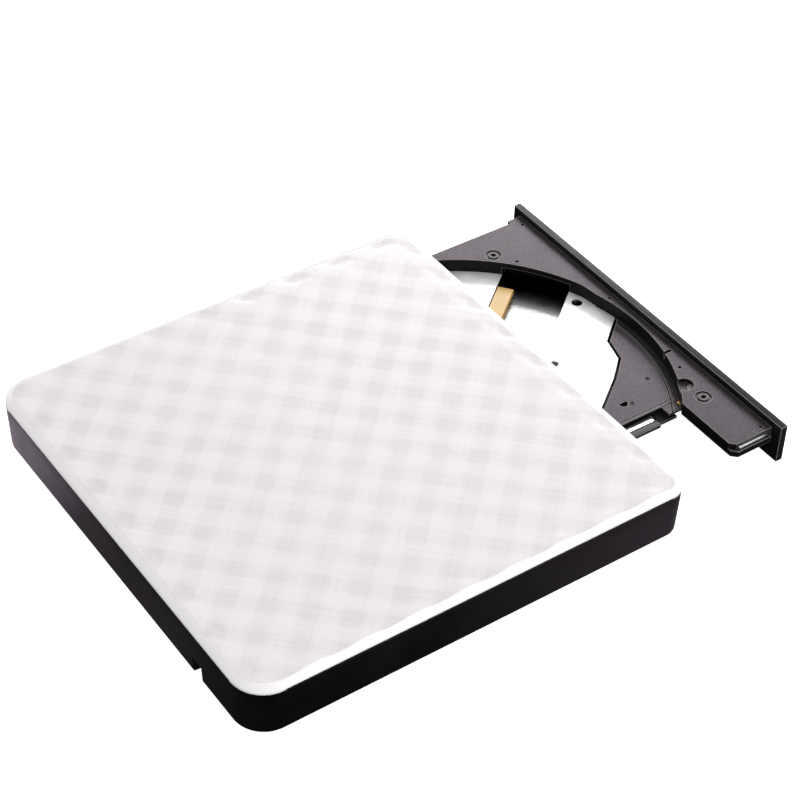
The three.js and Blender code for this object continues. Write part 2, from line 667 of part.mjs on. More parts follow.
function screwFollower() {
  return piece('screw_follower', box(16.5, 21.5, 10.3, 10.85, 4.4, 6.1), 0xe4e2dc, 0.5);
}

function lens() {
  const holder = box(19.5, 26.5, -3.5, 3.5, 7.35, 8.5).subtract(post(LENS_AT, 0, 2, 7.9, 9, 24));
  const glass = turned([[0, 7.95], [1.85, 7.95], [1.85, 8.3], [1.3, 8.6], [0.7, 8.75], [0, 8.8]], 24);
  const objective = piece('objective_lens', glass, 0x9fb6d8, 0.05);
  objective.position.set(LENS_AT, 0, 0);
  return [piece('lens_holder', holder, 0x1f2024, 0.5), objective];
}

// ---- assembly ----

function sledAssembly() {
  const group = new THREE.Group();
  group.position.set(HUB.x, HUB.y, 0);
  group.rotation.z = SLED_ANGLE;
  group.add(
    rod('guide_rod_a', ROD_A, 60),
    rod('guide_rod_b', ROD_B, 57.6),
    rodHolder('rod_holder_1', 12.4, 14.6, ROD_A, 1),
    rodHolder('rod_holder_2', 12.4, 14.6, ROD_B, 1),
    rodHolder('rod_holder_3', 58.8, 60.8, ROD_A, -1),
    rodHolder('rod_holder_4', 56.4, 58.4, ROD_B, -1),
    stepperMotor(),
    leadScrew(),
    pickupFlex(),
    pickup(),
    screwFollower(),
    ...lens(),
  );
  return group;
}

function spindleAssembly() {
  const group = new THREE.Group();
  group.position.set(HUB.x, HUB.y, 0);
  const claws = CLAW_ANGLES.map((angle, i) => claw(`disc_claw_${i + 1}`, angle));
  group.add(spindleBase(), turntable(), rubberRing(), ...claws);
  return group;
}

function trayAssembly() {
  const group = new THREE.Group();
  group.position.y = -TRAY_OUT;
  group.add(trayFrame(), deckPlate(), underCover(), wingRail(), groundSpring());
  group.add(bezel(), ledLens(), ejectButton());
  group.add(...DECK_SCREWS.map((at, i) => deckScrew(`deck_screw_${i + 1}`, at)));
  group.add(...trayElectronics(), latchHook(), spindleAssembly(), sledAssembly());
  return group;
}

function railAssembly() {
  const group = new THREE.Group();
  group.position.y = -TRAY_OUT / 2;
  group.add(rail('rail_left', -36.6, -32), rail('rail_right', 57.95, 61.4), trayFlex());
  return group;
}

function housingAssembly() {
  const group = new THREE.Group();
  group.add(baseShell(), topCover(), cableGland(), ...bridgeBoard());
  group.add(foot('foot_rear_left', -1, FOOT.rearY), foot('foot_rear_right', 1, FOOT.rearY));
  group.add(foot('foot_front_left', -1, FOOT.frontY), foot('foot_front_right', 1, FOOT.frontY));
  group.add(caseScrew('case_screw_left', -1), caseScrew('case_screw_right', 1));
  group.add(foamPad('foam_pad_front', -45), foamPad('foam_pad_rear', 42));
  group.add(chassisPan(), chassisLid(), ...mainBoard(), ...guides());
  return group;
}

const drive = new THREE.Group();
drive.add(housingAssembly(), railAssembly(), trayAssembly());

export default drive;
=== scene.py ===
import json
import math

import bmesh
import bpy
import numpy as np
from mathutils import Matrix, Vector


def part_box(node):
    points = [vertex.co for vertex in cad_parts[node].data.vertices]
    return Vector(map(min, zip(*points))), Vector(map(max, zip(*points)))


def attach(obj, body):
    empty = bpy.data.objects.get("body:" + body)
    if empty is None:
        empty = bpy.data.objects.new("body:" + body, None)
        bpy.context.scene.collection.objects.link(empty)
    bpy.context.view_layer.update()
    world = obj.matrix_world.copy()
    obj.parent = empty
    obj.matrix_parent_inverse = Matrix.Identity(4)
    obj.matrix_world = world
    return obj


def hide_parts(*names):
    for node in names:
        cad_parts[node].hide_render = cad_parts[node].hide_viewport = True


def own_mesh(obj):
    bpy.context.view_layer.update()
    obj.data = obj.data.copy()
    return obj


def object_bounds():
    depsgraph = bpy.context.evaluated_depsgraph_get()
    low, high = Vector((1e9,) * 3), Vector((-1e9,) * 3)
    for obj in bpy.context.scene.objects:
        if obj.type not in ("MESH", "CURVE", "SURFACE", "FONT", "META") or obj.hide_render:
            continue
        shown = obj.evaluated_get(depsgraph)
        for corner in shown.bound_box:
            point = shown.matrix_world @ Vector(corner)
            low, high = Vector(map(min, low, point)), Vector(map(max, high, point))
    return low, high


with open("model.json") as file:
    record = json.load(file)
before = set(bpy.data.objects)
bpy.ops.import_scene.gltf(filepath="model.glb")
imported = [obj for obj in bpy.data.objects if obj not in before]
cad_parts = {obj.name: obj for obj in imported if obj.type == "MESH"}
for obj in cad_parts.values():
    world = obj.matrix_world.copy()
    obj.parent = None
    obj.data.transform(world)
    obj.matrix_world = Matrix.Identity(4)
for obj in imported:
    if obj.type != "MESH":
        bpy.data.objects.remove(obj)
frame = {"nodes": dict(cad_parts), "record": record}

cad_bounds = [list(corner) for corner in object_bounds()]
record = frame["record"]
BODY_OF = {node: body for body, nodes in record["behaviour"]["bodies"].items() for node in nodes}
MM = 0.001

# Case, in millimetres
HALF_X = 68.6
HALF_Y = 69.35
REAR_RADIUS = 9.8
FRONT_RADIUS = 6.0
DRAFT = 0.5
BASE_TOP = 14.7
COVER_LOW = 14.9
COVER_TOP = 16.9
COVER_CEILING = 15.6
COVER_STEP = 0.42
COVER_POSTS = ((-61.5, 62.9), (61.5, 62.9))
FOOT_PLACES = ((-60, 61.5), (-60, -60), (60, 61.5), (60, -60))
PLAID_PITCH = 15.4
PLAID_ORIGIN = (-59.3, 64.7)
MERGE = 0.000002

# Sled frame: u runs from the hub along the rods, v across them
HUB = (-0.6, -44.55)
SLED_ANGLE = math.radians(-51.3)
ALONG = Vector((math.cos(SLED_ANGLE), math.sin(SLED_ANGLE), 0))
ACROSS = Vector((-math.sin(SLED_ANGLE), math.cos(SLED_ANGLE), 0))
ROD_Z = 5.2
ROD_LINES = (8.4, -16.9)
SCREW_LINE = 12
SCREW_PITCH = 3.0
SCREW_SPAN = (16.1, 63.1)
THREAD_SPAN = (17.2, 61.0)
LENS_AT = 23
SLOT_END = 65.85

# Tray, where it stands at rest
TRAY_TOP = 11.2
TRAY_FLOOR = 7.0
TRAY_BOSSES = [(47.4, -88.8), (-38.2, -100.1)]
TRAY_PINS = [(40.9, -93.0), (54.9, -105.7), (-56.7, -105.3), (-24.5, -102.8), (11.6, -105.7)]
FLOOR_BUMPS = [(-19.8, -95.2), (-25.8, -84.7)]
DECK_SCREWS = [(0.2, -76.5), (44, -48.8), (-12, -26.8)]
DECK_OUTLINE = [
    (7.6, -106.8), (60, -106.8), (60, -36.8), (42, -20.8), (-19, -20.8), (-27, -32.8), (-27, -70.0),
    (-14.2, -87.1), (-8.1, -93.7), (0, -95.9), (7.6, -105.1),
]

# Camera: angles in degrees, distances in millimetres
CAMERA_AZIMUTH, CAMERA_ELEVATION, CAMERA_ROLL = 234.28, 41.34, 1.85
CAMERA_BACK, CAMERA_RIGHT, CAMERA_UP = 605.3, 17.31, 22.77
SENSOR = 36
FOCAL_LENGTH = 97.8183

# Area lights: name, place, target, size, watts, seen in gloss
LIGHTS = (
    ("key", (-0.55, -0.55, 0.8), (0, 0, 0), (0.7, 0.6), 3.3, True),
    ("back", (0.55, -0.75, 0.42), (0.02, -0.06, 0), (0.9, 0.35), 7.5, True),
    ("top", (0.1, 0.0, 0.9), (0, 0, 0), (0.8, 0.8), 0.8, True),
    ("rear", (-0.15, 0.75, 0.35), (0, 0, 0), (0.6, 0.3), 1.95, False),
    ("side", (-0.8, 0.0, 0.2), (0, 0, 0), (0.6, 0.2), 3.7, False),
    ("far", (0.8, 0.05, 0.2), (0, 0, 0), (0.6, 0.2), 2.6, False),
)

# Floor patches that the case's gloss reflects: where they start and end, and their levels
BEHIND_SPAN, BEHIND_LEVELS = (-0.07, 0.075), (0.0, 0.03, 0.07, 0.08, 0.14, 0.5, 0.85)
BESIDE_SPAN, BESIDE_LEVELS = (0.065, -0.07), (0.0, 0.0, 0.02, 0.07, 0.16, 0.2)
BEHIND_FADE = (0.055, 0.068)
BESIDE_FADE = (-0.060, -0.070)

# Colours
WHITE = (1, 1, 1, 1)
# Whiter base for the cover's sloping edge: a painted highlight.
COVER_BEVEL_PAINTED_HIGHLIGHT = (0.700, 0.680, 0.692, 1)
COVER_LIGHT = (0.580, 0.548, 0.562, 1)
# Greyer base on the plaid's bands: painted shade of the relief.
COVER_PAINTED_BAND_SHADE = (0.492, 0.462, 0.476, 1)
THREAD_WIDTH = 0.0011


# ---- camera, lights, floor ----

def add_camera():
    azimuth, elevation, roll = map(math.radians, (CAMERA_AZIMUTH, CAMERA_ELEVATION, CAMERA_ROLL))
    back = Vector((
        math.sin(azimuth) * math.cos(elevation),
        -math.cos(azimuth) * math.cos(elevation),
        math.sin(elevation),
    ))
    right = (-back).cross(Vector((0, 0, 1))).normalized()
    up = right.cross(-back)
    turned_right = math.cos(roll) * right + math.sin(roll) * up
    turned_up = -math.sin(roll) * right + math.cos(roll) * up
    place = (back * CAMERA_BACK + right * CAMERA_RIGHT + up * CAMERA_UP) * MM
    camera = bpy.data.objects.new("camera", bpy.data.cameras.new("camera"))
    camera.data.sensor_width = SENSOR
    camera.data.lens = FOCAL_LENGTH
    camera.data.clip_start = 0.01
    camera.data.clip_end = 20
    axes = Matrix((turned_right, turned_up, back)).transposed()
    camera.matrix_world = Matrix.Translation(place) @ axes.to_4x4()
    bpy.context.scene.collection.objects.link(camera)
    bpy.context.scene.camera = camera


def add_area_light(name, place, target, size, watts, seen_in_gloss):
    light = bpy.data.lights.new(name, "AREA")
    light.shape = "RECTANGLE"
    light.size, light.size_y = size
    light.energy = watts
    lamp = bpy.data.objects.new(name, light)
    lamp.location = place
    direction = Vector(target) - Vector(place)
    lamp.rotation_euler = direction.to_track_quat("-Z", "Y").to_euler()
    lamp.visible_camera = False
    lamp.visible_glossy = seen_in_gloss
    bpy.context.scene.collection.objects.link(lamp)


def floor_material():
    """White to look at. The glossy case reflects it as dark, with bright patches behind and beside."""
    material = bpy.data.materials.new("floor")
    nodes = Nodes(material)
    nodes.put(nodes.shader, "Roughness", 0.9)
    nodes.put(nodes.shader, "Specular IOR Level", 0.1)
    x, y, _ = nodes.split(nodes.place())
    behind = nodes.ramp(x, *BEHIND_SPAN, BEHIND_LEVELS)
    behind = nodes.math("MULTIPLY", behind, nodes.spread(y, *BEHIND_FADE, 0, 1, smooth=True))
    beside = nodes.ramp(y, *BESIDE_SPAN, BESIDE_LEVELS)
    beside = nodes.math("MULTIPLY", beside, nodes.spread(x, *BESIDE_FADE, 0, 1, smooth=True))
    glow = nodes.math("ADD", behind, beside)
    seen = nodes.add("ShaderNodeLightPath").outputs["Is Camera Ray"]
    nodes.put(nodes.shader, "Emission Strength", nodes.spread(seen, 0, 1, glow, 0.86))
    nodes.put(nodes.shader, "Base Color", nodes.mix(seen, (0.012, 0.012, 0.012, 1), (0.93, 0.93, 0.93, 1)))
    nodes.put(nodes.shader, "Emission Color", nodes.mix(seen, (1, 0.86, 1, 1), WHITE))
    return material


def add_floor():
    mesh = bpy.data.meshes.new("floor")
    half = 6
    height = cad_bounds[0][2] - 0.00002
    corners = [(-half, -half), (half, -half), (half, half), (-half, half)]
    mesh.from_pydata([(x, y, height) for x, y in corners], [], [(0, 1, 2, 3)])
    mesh.materials.append(floor_material())
    floor = bpy.data.objects.new("floor", mesh)
    bpy.context.scene.collection.objects.link(floor)


def add_world():
    """White all round, brighter from above and from the front."""
    world = bpy.data.worlds.new("studio")
    world.use_nodes = True
    tree = world.node_tree
    background = tree.nodes["Background"]
    background.inputs["Color"].default_value = WHITE
    place = tree.nodes.new("ShaderNodeTexCoord")
    towards = tree.nodes.new("ShaderNodeVectorMath")
    towards.operation = "DOT_PRODUCT"
    towards.inputs[1].default_value = (0.25, -0.72, 0.65)
    level = tree.nodes.new("ShaderNodeMapRange")
    level.interpolation_type = "SMOOTHSTEP"
    for index, value in ((1, -0.1), (2, 0.75), (3, 0.30), (4, 0.90)):
        level.inputs[index].default_value = value
    tree.links.new(place.outputs["Generated"], towards.inputs[0])
    tree.links.new(towards.outputs["Value"], level.inputs[0])
    tree.links.new(level.outputs[0], background.inputs["Strength"])
    bpy.context.scene.world = world


def add_studio():
    add_world()
    view = bpy.context.scene.view_settings
    view.view_transform = "Standard"
    view.look = "None"
    view.exposure = 0
    for light in LIGHTS:
        add_area_light(*light)
    add_floor()


# ---- materials ----

class Nodes:
    """A short way to write a node tree."""

    def __init__(self, material):
        material.use_nodes = True
        self.tree = material.node_tree
        self.shader = self.tree.nodes["Principled BSDF"]

    def add(self, kind, settings=None, **inputs):
        node = self.tree.nodes.new(kind)
        for key, value in (settings or {}).items():
            setattr(node, key, value)
        for key, value in inputs.items():
            self.put(node, key.replace("_", " "), value)
        return node

    def put(self, node, socket, value):
        found = node.inputs[int(socket[1:])] if socket.startswith("#") else node.inputs[socket]
        if isinstance(value, bpy.types.NodeSocket):
            self.tree.links.new(value, found)
        else:
            found.default_value = value

    def math(self, operation, first, second=0.0, clamp=False):
        node = self.tree.nodes.new("ShaderNodeMath")
        node.operation = operation
        node.use_clamp = clamp
        self.put(node, "#0", first)
        self.put(node, "#1", second)
        return node.outputs[0]

    def spread(self, value, low, high, out_low, out_high, smooth=False):
        node = self.tree.nodes.new("ShaderNodeMapRange")
        node.interpolation_type = "SMOOTHSTEP" if smooth else "LINEAR"
        for index, number in enumerate((value, low, high, out_low, out_high)):
            self.put(node, f"#{index}", number)
        return node.outputs[0]

    def noise(self, place, scale, detail=2.0, roughness=0.5):
        node = self.add("ShaderNodeTexNoise", Scale=scale, Detail=detail, Roughness=roughness)
        self.tree.links.new(place, node.inputs["Vector"])
        return node.outputs["Fac"]

    def mix(self, amount, first, second):
        node = self.tree.nodes.new("ShaderNodeMix")
        node.data_type = "RGBA"
        self.put(node, "#0", amount)
        self.put(node, "#6", first)
        self.put(node, "#7", second)
        return node.outputs[2]

    def ramp(self, value, low, high, levels):
        """Grey levels spread evenly from low to high of a value."""
        grey = self.add("ShaderNodeValToRGB")
        stops = grey.color_ramp.elements
        for index in range(len(levels) - 2):
            stops.new((index + 1) / (len(levels) - 1))
        for stop, level in zip(stops, levels):
            stop.color = (level, level, level, 1)
        self.put(grey, "#0", self.spread(value, low, high, 0, 1))
        return grey.outputs[0]

    def place(self):
        return self.add("ShaderNodeTexCoord").outputs["Object"]

    def split(self, vector):
        node = self.add("ShaderNodeSeparateXYZ")
        self.put(node, "#0", vector)
        return node.outputs[0], node.outputs[1], node.outputs[2]

    def upward(self):
        """The upward part of the surface's normal."""
        return self.split(self.add("ShaderNodeNewGeometry").outputs["Normal"])[2]

    def along(self, direction):
        """How far a place lies in a direction."""
        node = self.add("ShaderNodeVectorMath", {"operation": "DOT_PRODUCT"})
        self.put(node, "#0", self.place())
        self.put(node, "#1", tuple(direction))
        return node.outputs["Value"]

    def paint_over(self, amount, colour):
        under = self.shader.inputs["Base Color"].links[0].from_socket
        self.put(self.shader, "Base Color", self.mix(amount, under, colour))

    def stretched(self, place, scale):
        node = self.add("ShaderNodeVectorMath", {"operation": "MULTIPLY"})
        self.tree.links.new(place, node.inputs[0])
        node.inputs[1].default_value = scale
        return node.outputs[0]

    def at_edges(self, radius):
        """Near 1 on outer edges, 0 on open faces and in inner corners."""
        inside = self.add("ShaderNodeAmbientOcclusion", {"samples": 8, "inside": True, "only_local": True})
        inside.inputs["Distance"].default_value = radius
        return self.spread(inside.outputs["AO"], 0.92, 0.62, 0, 1, smooth=True)

    def bump(self, height, strength, distance, edge_radius=None):
        node = self.add("ShaderNodeBump", Strength=strength, Distance=distance)
        self.tree.links.new(height, node.inputs["Height"])
        if edge_radius:
            rounded = self.add("ShaderNodeBevel", {"samples": 4}, Radius=edge_radius)
            self.tree.links.new(rounded.outputs[0], node.inputs["Normal"])
        self.tree.links.new(node.outputs[0], self.shader.inputs["Normal"])


def finish_material(
    name, colour, roughness, metallic=0.0, specular=0.5, grain=900, grain_depth=0.25, wear=0.15,
    tint=0.12, stretch=(1, 1, 1), edge=0.12, edge_light=0.0, coat=0.0, transmission=0.0,
    gloss_tint=(1, 1, 1), specks=0.0,
):
    """A surface with a fine grain, slow drifts of roughness and colour, lightly rubbed patches, and, where
    asked, outer edges painted lighter as a painted highlight.
    """
    material = bpy.data.materials.new(name)
    nodes = Nodes(material)
    shader = nodes.shader
    shader.inputs["Metallic"].default_value = metallic
    shader.inputs["Specular IOR Level"].default_value = specular
    shader.inputs["Coat Weight"].default_value = coat
    shader.inputs["Transmission Weight"].default_value = transmission
    shader.inputs["Specular Tint"].default_value = (*gloss_tint, 1)
    place = nodes.stretched(nodes.place(), stretch)
    fine = nodes.noise(place, grain * 4, 2.0, 0.6)
    slow = nodes.noise(place, 45.0, 3.0, 0.55)
    smear = nodes.noise(place, 160.0, 4.0, 0.6)
    base = (*colour, 1)
    light = tuple(min(1.0, c * (1 + tint) + 0.004) for c in colour) + (1,)
    dark = tuple(c * (1 - tint) for c in colour) + (1,)
    drift = nodes.mix(nodes.spread(slow, 0.35, 0.65, 0, 1), dark, light)
    speck = nodes.spread(fine, 0.4, 0.62, 0, 0.5)
    surface = nodes.mix(speck, drift, base)
    if specks:
        speck_or_edge_highlight_colour = tuple(c + specks for c in colour) + (1,)
        surface = nodes.mix(nodes.spread(fine, 0.5, 0.68, 0, 1), surface, speck_or_edge_highlight_colour)
    # Outer edges painted paler: a painted highlight.
    if edge_light:
        speck_or_edge_highlight_colour = tuple(c + edge_light for c in colour) + (1,)
        surface = nodes.mix(nodes.at_edges(edge * MM), surface, speck_or_edge_highlight_colour)
    nodes.put(shader, "Base Color", surface)
    rough = nodes.spread(smear, 0.3, 0.7, roughness * (1 - wear), min(1.0, roughness * (1 + wear)))
    nodes.put(shader, "Roughness", rough)
    nodes.bump(fine, grain_depth, 0.00003, edge * MM if edge else None)
    return material


def plaid_bands(nodes, x, y):
    """The two sets of bands, each 1 on a band and 0 between bands."""
    x = nodes.math("SUBTRACT", x, PLAID_ORIGIN[0] * MM)
    y = nodes.math("SUBTRACT", y, PLAID_ORIGIN[1] * MM)
    bands = []
    for operation in ("ADD", "SUBTRACT"):
        across = nodes.math("DIVIDE", nodes.math(operation, x, y), PLAID_PITCH * MM)
        wave = nodes.math("PINGPONG", across, 0.5)
        bands.append(nodes.spread(wave, 0.15, 0.36, 1, 0, smooth=True))
    return bands


def plaid_band_shade_and_threads(nodes, place, x, y):
    """The plaid's painted shade: 0 between bands, more on one, and 1 where two cross, with threads running
    both ways.
    """
    bands = plaid_bands(nodes, x, y)
    crossing = nodes.math("MULTIPLY", *bands)
    either = nodes.math("MAXIMUM", *bands)
    band_shade_and_threads = nodes.math("ADD", nodes.math("MULTIPLY", either, 0.42), nodes.math("MULTIPLY", crossing, 0.58))
    fade = nodes.spread(nodes.noise(place, 14.0, 2.0, 0.5), 0.3, 0.7, 0.6, 1.0)
    band_shade_and_threads = nodes.math("MULTIPLY", band_shade_and_threads, fade)
    for turn, strength in ((math.pi / 4, 0.16), (-math.pi / 4, 0.22)):
        turned = nodes.add("ShaderNodeVectorRotate", {"rotation_type": "Z_AXIS"}, Angle=turn, Vector=place)
        threads = nodes.noise(nodes.stretched(turned.outputs[0], (0.05, 1, 1)), 1500.0, 1.5, 0.5)
        band_shade_and_threads = nodes.math("ADD", band_shade_and_threads, nodes.spread(threads, 0.3, 0.7, -strength, strength))
    return band_shade_and_threads


def cover_material():
    """Glossy white, painted whiter on its sloping edge as a painted highlight. On the flat top the plaid's
    bands are painted greyer, darker where two cross: painted shade of the plaid's relief.
    """
    material = bpy.data.materials.new("cover_white")
    nodes = Nodes(material)
    shader = nodes.shader
    nodes.put(shader, "Specular IOR Level", 0.35)
    nodes.put(shader, "Coat Weight", 0.1)
    nodes.put(shader, "Coat Roughness", 0.06)
    place = nodes.place()
    x, y, _ = nodes.split(place)
    flat = nodes.spread(nodes.upward(), 0.9, 0.985, 0, 1)
    # Painted shade on the plaid's bands, darker where two cross.
    band_shade_and_threads = nodes.math("MULTIPLY", plaid_band_shade_and_threads(nodes, place, x, y), flat, clamp=True)
    top = nodes.mix(band_shade_and_threads, COVER_LIGHT, COVER_PAINTED_BAND_SHADE)
    # The sloping edge gets the whiter base, a painted highlight.
    nodes.put(shader, "Base Color", nodes.mix(flat, COVER_BEVEL_PAINTED_HIGHLIGHT, top))
    smear = nodes.noise(place, 130.0, 4.0, 0.6)
    nodes.put(shader, "Roughness", nodes.spread(smear, 0.3, 0.7, 0.285, 0.325))
    waves = [nodes.math("SINE", nodes.math("MULTIPLY", axis, 2 * math.pi / THREAD_WIDTH)) for axis in (x, y)]
    weave = nodes.math("MULTIPLY", nodes.math("MULTIPLY", *waves), 0.25)
    nodes.bump(nodes.math("ADD", weave, nodes.noise(place, 1200.0, 1.0, 0.5)), 0.05, 0.00002)
    return material


# ---- mesh helpers ----

def new_object(name, vertices, faces):
    """A mesh object from vertices in millimetres."""
    mesh = bpy.data.meshes.new(name)
    mesh.from_pydata([Vector(v) * MM for v in vertices], [], faces)
    mesh.validate()
    tidy(mesh)
    thing = bpy.data.objects.new(name, mesh)
    bpy.context.scene.collection.objects.link(thing)
    return thing


def tidy(mesh, make_faces_whole=False):
    work = bmesh.new()
    work.from_mesh(mesh)
    bmesh.ops.remove_doubles(work, verts=work.verts, dist=MERGE)
    if make_faces_whole:
        bmesh.ops.dissolve_limit(work, angle_limit=math.radians(0.4), verts=work.verts, edges=work.edges)
    bmesh.ops.recalc_face_normals(work, faces=work.faces)
    work.to_mesh(mesh)
    work.free()
    mesh.update()


def smooth(thing, degrees=30):
    thing.data.shade_smooth()
    thing.data.set_sharp_from_angle(angle=math.radians(degrees))
    return thing


def applied(thing):
    graph = bpy.context.evaluated_depsgraph_get()
    mesh = bpy.data.meshes.new_from_object(thing.evaluated_get(graph))
    thing.modifiers.clear()
    thing.data = mesh
    return thing


def combine(thing, tools, operation="DIFFERENCE"):
    for tool in tools:
        step = thing.modifiers.new("cut", "BOOLEAN")
        step.operation = operation
        step.solver = "MANIFOLD"
        step.object = tool
    applied(thing)
    for tool in tools:
        bpy.data.objects.remove(tool)
    return thing


def block(name, low, high):
    """A closed solid between two rings of four corners."""
    faces = [(3, 2, 1, 0), (4, 5, 6, 7), (0, 1, 5, 4), (1, 2, 6, 5), (2, 3, 7, 6), (3, 0, 4, 7)]
    return new_object(name, [*low, *high], faces)


def box(name, x0, x1, y0, y1, z0, z1):
    plan = ((x0, y0), (x1, y0), (x1, y1), (x0, y1))
    return block(name, *([(x, y, z) for x, y in plan] for z in (z0, z1)))


def prism(name, outline, z0, z1):
    count = len(outline)
    vertices = [(x, y, z0) for x, y in outline] + [(x, y, z1) for x, y in outline]
    sides = [(i, (i + 1) % count, (i + 1) % count + count, i + count) for i in range(count)]
    return new_object(name, vertices, [tuple(range(count))[::-1], tuple(range(count, 2 * count)), *sides])


def circle(x, y, radius, count=48):
    turn = 2 * math.pi / count
    return [(x + radius * math.cos(i * turn), y + radius * math.sin(i * turn)) for i in range(count)]


def disc(name, x, y, radius, z0, z1, count=48):
    return prism(name, circle(x, y, radius, count), z0, z1)


def layers(name, rings, closed_ends=True):
    """A skin through rings of equally many points, each a list of (x, y, z)."""
    count = len(rings[0])
    vertices = [point for ring in rings for point in ring]
    faces = []
    for level in range(len(rings) - 1):
        for i in range(count):
            a = level * count + i
            b = level * count + (i + 1) % count
            faces.append((a, b, b + count, a + count))
    if closed_ends:
        faces.append(tuple(range(count))[::-1])
        faces.append(tuple(range((len(rings) - 1) * count, len(rings) * count)))
    return new_object(name, vertices, faces)


def arc(cx, cy, radius, start, end, steps):
    turns = [math.radians(start + (end - start) * i / steps) for i in range(steps + 1)]
    return [(cx + radius * math.cos(t), cy + radius * math.sin(t)) for t in turns]


def rounded(points, radius, steps=4):
    """The open path with each inner corner turned into a curve that starts radius away from it."""
    path = [points[0]]
    for before, corner, after in zip(points, points[1:], points[2:]):
        corner = Vector(corner)
        to_before = Vector(before) - corner
        to_after = Vector(after) - corner
        start = corner + to_before.normalized() * min(radius, to_before.length * 0.49)
        end = corner + to_after.normalized() * min(radius, to_after.length * 0.49)
        for i in range(steps + 1):
            t = i / steps
            path.append(tuple(start * (1 - t) ** 2 + corner * 2 * t * (1 - t) + end * t ** 2))
    path.append(points[-1])
    return path


def lathe(name, profile, put, sides=64):
    """A (radius, along) profile turned about an axis. put places (along, side, other side) in millimetres."""
    turns = [2 * math.pi * i / sides for i in range(sides)]
    rings = [[put(along, r * math.cos(t), r * math.sin(t)) for t in turns] for r, along in profile]
    return layers(name, rings, closed_ends=False)


def upright(x, y):
    return lambda along, side, other: (x + side, y + other, along)


def facing_front(x, z):
    return lambda along, side, other: (x + side, along, z + other)


def sled(u, v, z):
    point = Vector((*HUB, 0)) + ALONG * u + ACROSS * v
    return point.x, point.y, z


def along_sled(line, z):
    return lambda along, side, other: sled(along, line + side, z + other)


def sled_box(name, u0, u1, v0, v1, z0, z1):
    plan = ((u0, v0), (u1, v0), (u1, v1), (u0, v1))
    return block(name, *([sled(u, v, z) for u, v in plan] for z in (z0, z1)))


def offset(outline, distance):
    """A counter-clockwise polygon, no two sides in a row in line, with every side moved out by distance."""
    count = len(outline)
    lines = []
    for i, (x, y) in enumerate(outline):
        dx, dy = outline[(i + 1) % count][0] - x, outline[(i + 1) % count][1] - y
        length = math.hypot(dx, dy)
        lines.append((x + dy / length * distance, y - dx / length * distance, dx, dy))
    moved = []
    for (ax, ay, adx, ady), (bx, by, bdx, bdy) in zip([lines[-1], *lines[:-1]], lines):
        t = ((bx - ax) * bdy - (by - ay) * bdx) / (adx * bdy - ady * bdx)
        moved.append((ax + adx * t, ay + ady * t))
    return moved


def ring_at(inset, z):
    """The case's plan outline at a height, moved in by inset."""
    x = HALF_X - inset
    y = HALF_Y - inset
    front = FRONT_RADIUS - inset
    rear = REAR_RADIUS - inset
    outline = [
        *arc(x - front, -y + front, front, -90, 0, 14),
        *arc(x - rear, y - rear, rear, 0, 90, 20),
        *arc(-x + rear, y - rear, rear, 90, 180, 20),
        *arc(-x + front, -y + front, front, 180, 270, 14),
    ]
    return [(px, py, z) for px, py in outline]


def refined(node, name, degrees=30, bevel=0.0, segments=2):
    """A copy of a CAD node with flat faces made whole and its edges softened."""
    mesh = frame["nodes"][node].data.copy()
    mesh.materials.clear()
    copy = bpy.data.objects.new(name, mesh)
    bpy.context.scene.collection.objects.link(copy)
    tidy(mesh, make_faces_whole=True)
    if "custom_normal" in mesh.attributes:
        mesh.attributes.remove(mesh.attributes["custom_normal"])
    if bevel:
        soften(copy, bevel, segments)
    return smooth(copy, degrees)


def soften(thing, width, segments=2, degrees=30):
    step = thing.modifiers.new("soften", "BEVEL")
    step.width = width * MM
    step.segments = segments
    step.limit_method = "ANGLE"
    step.angle_limit = math.radians(degrees)
    step.miter_outer = "MITER_ARC"
    step.use_clamp_overlap = True
    return applied(thing)


def show(thing, material, *nodes, like=None):
    """Gives a piece its material and body, those of the CAD node it replaces or is like, and hides the nodes
    it replaces.
    """
    model = nodes[0] if nodes else like
    thing.data.materials.clear()
    thing.data.materials.append(material)
    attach(thing, BODY_OF[model])
    if nodes:
        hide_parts(*nodes)


def extent(node):
    """A CAD node's low and high corner in millimetres."""
    return [[c / MM for c in corner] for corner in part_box(node)]


# ---- case ----

def plaid_height(x, y):
    """1 where both bands cross, 0 between bands."""
    total = 0
    x, y = x - PLAID_ORIGIN[0], y - PLAID_ORIGIN[1]
    for across in (x + y, x - y):
        phase = across / PLAID_PITCH
        distance = np.abs(phase - np.round(phase))
        step = np.clip((0.38 - distance) / 0.26, 0, 1)
        total = total + step * step * (3 - 2 * step) / 2
    return total


def edge_distance(x, y):
    """How far a point is inside the case's plan outline."""
    radius = np.where(y > 0, REAR_RADIUS, FRONT_RADIUS)
    dx = np.abs(x) - (HALF_X - radius)
    dy = np.abs(y) - (HALF_Y - radius)
    outside = np.hypot(np.maximum(dx, 0), np.maximum(dy, 0))
    return radius - outside - np.minimum(np.maximum(dx, dy), 0)


def cover_top_height(x, y):
    """The flat top with its plaid relief, deeper near the edge, cut by the sloping edge all round."""
    distance = np.minimum(edge_distance(x, y), 8)
    relief = 0.06 + 0.16 * np.clip((8 - distance) / 2.5, 0, 1)
    field = COVER_TOP - relief * plaid_height(x, y)
    lip = COVER_LOW + 0.55
    slope = lip + distance * 0.62 - 0.012 * distance * distance
    blend = 0.10
    mix = np.clip(0.5 + 0.5 * (slope - field) / blend, 0, 1)
    height = slope * (1 - mix) + field * mix - blend * mix * (1 - mix)
    rounding = np.clip(distance / 0.35, 0, 1)
    return height - 0.3 * (1 - np.sqrt(1 - (1 - rounding) ** 2))


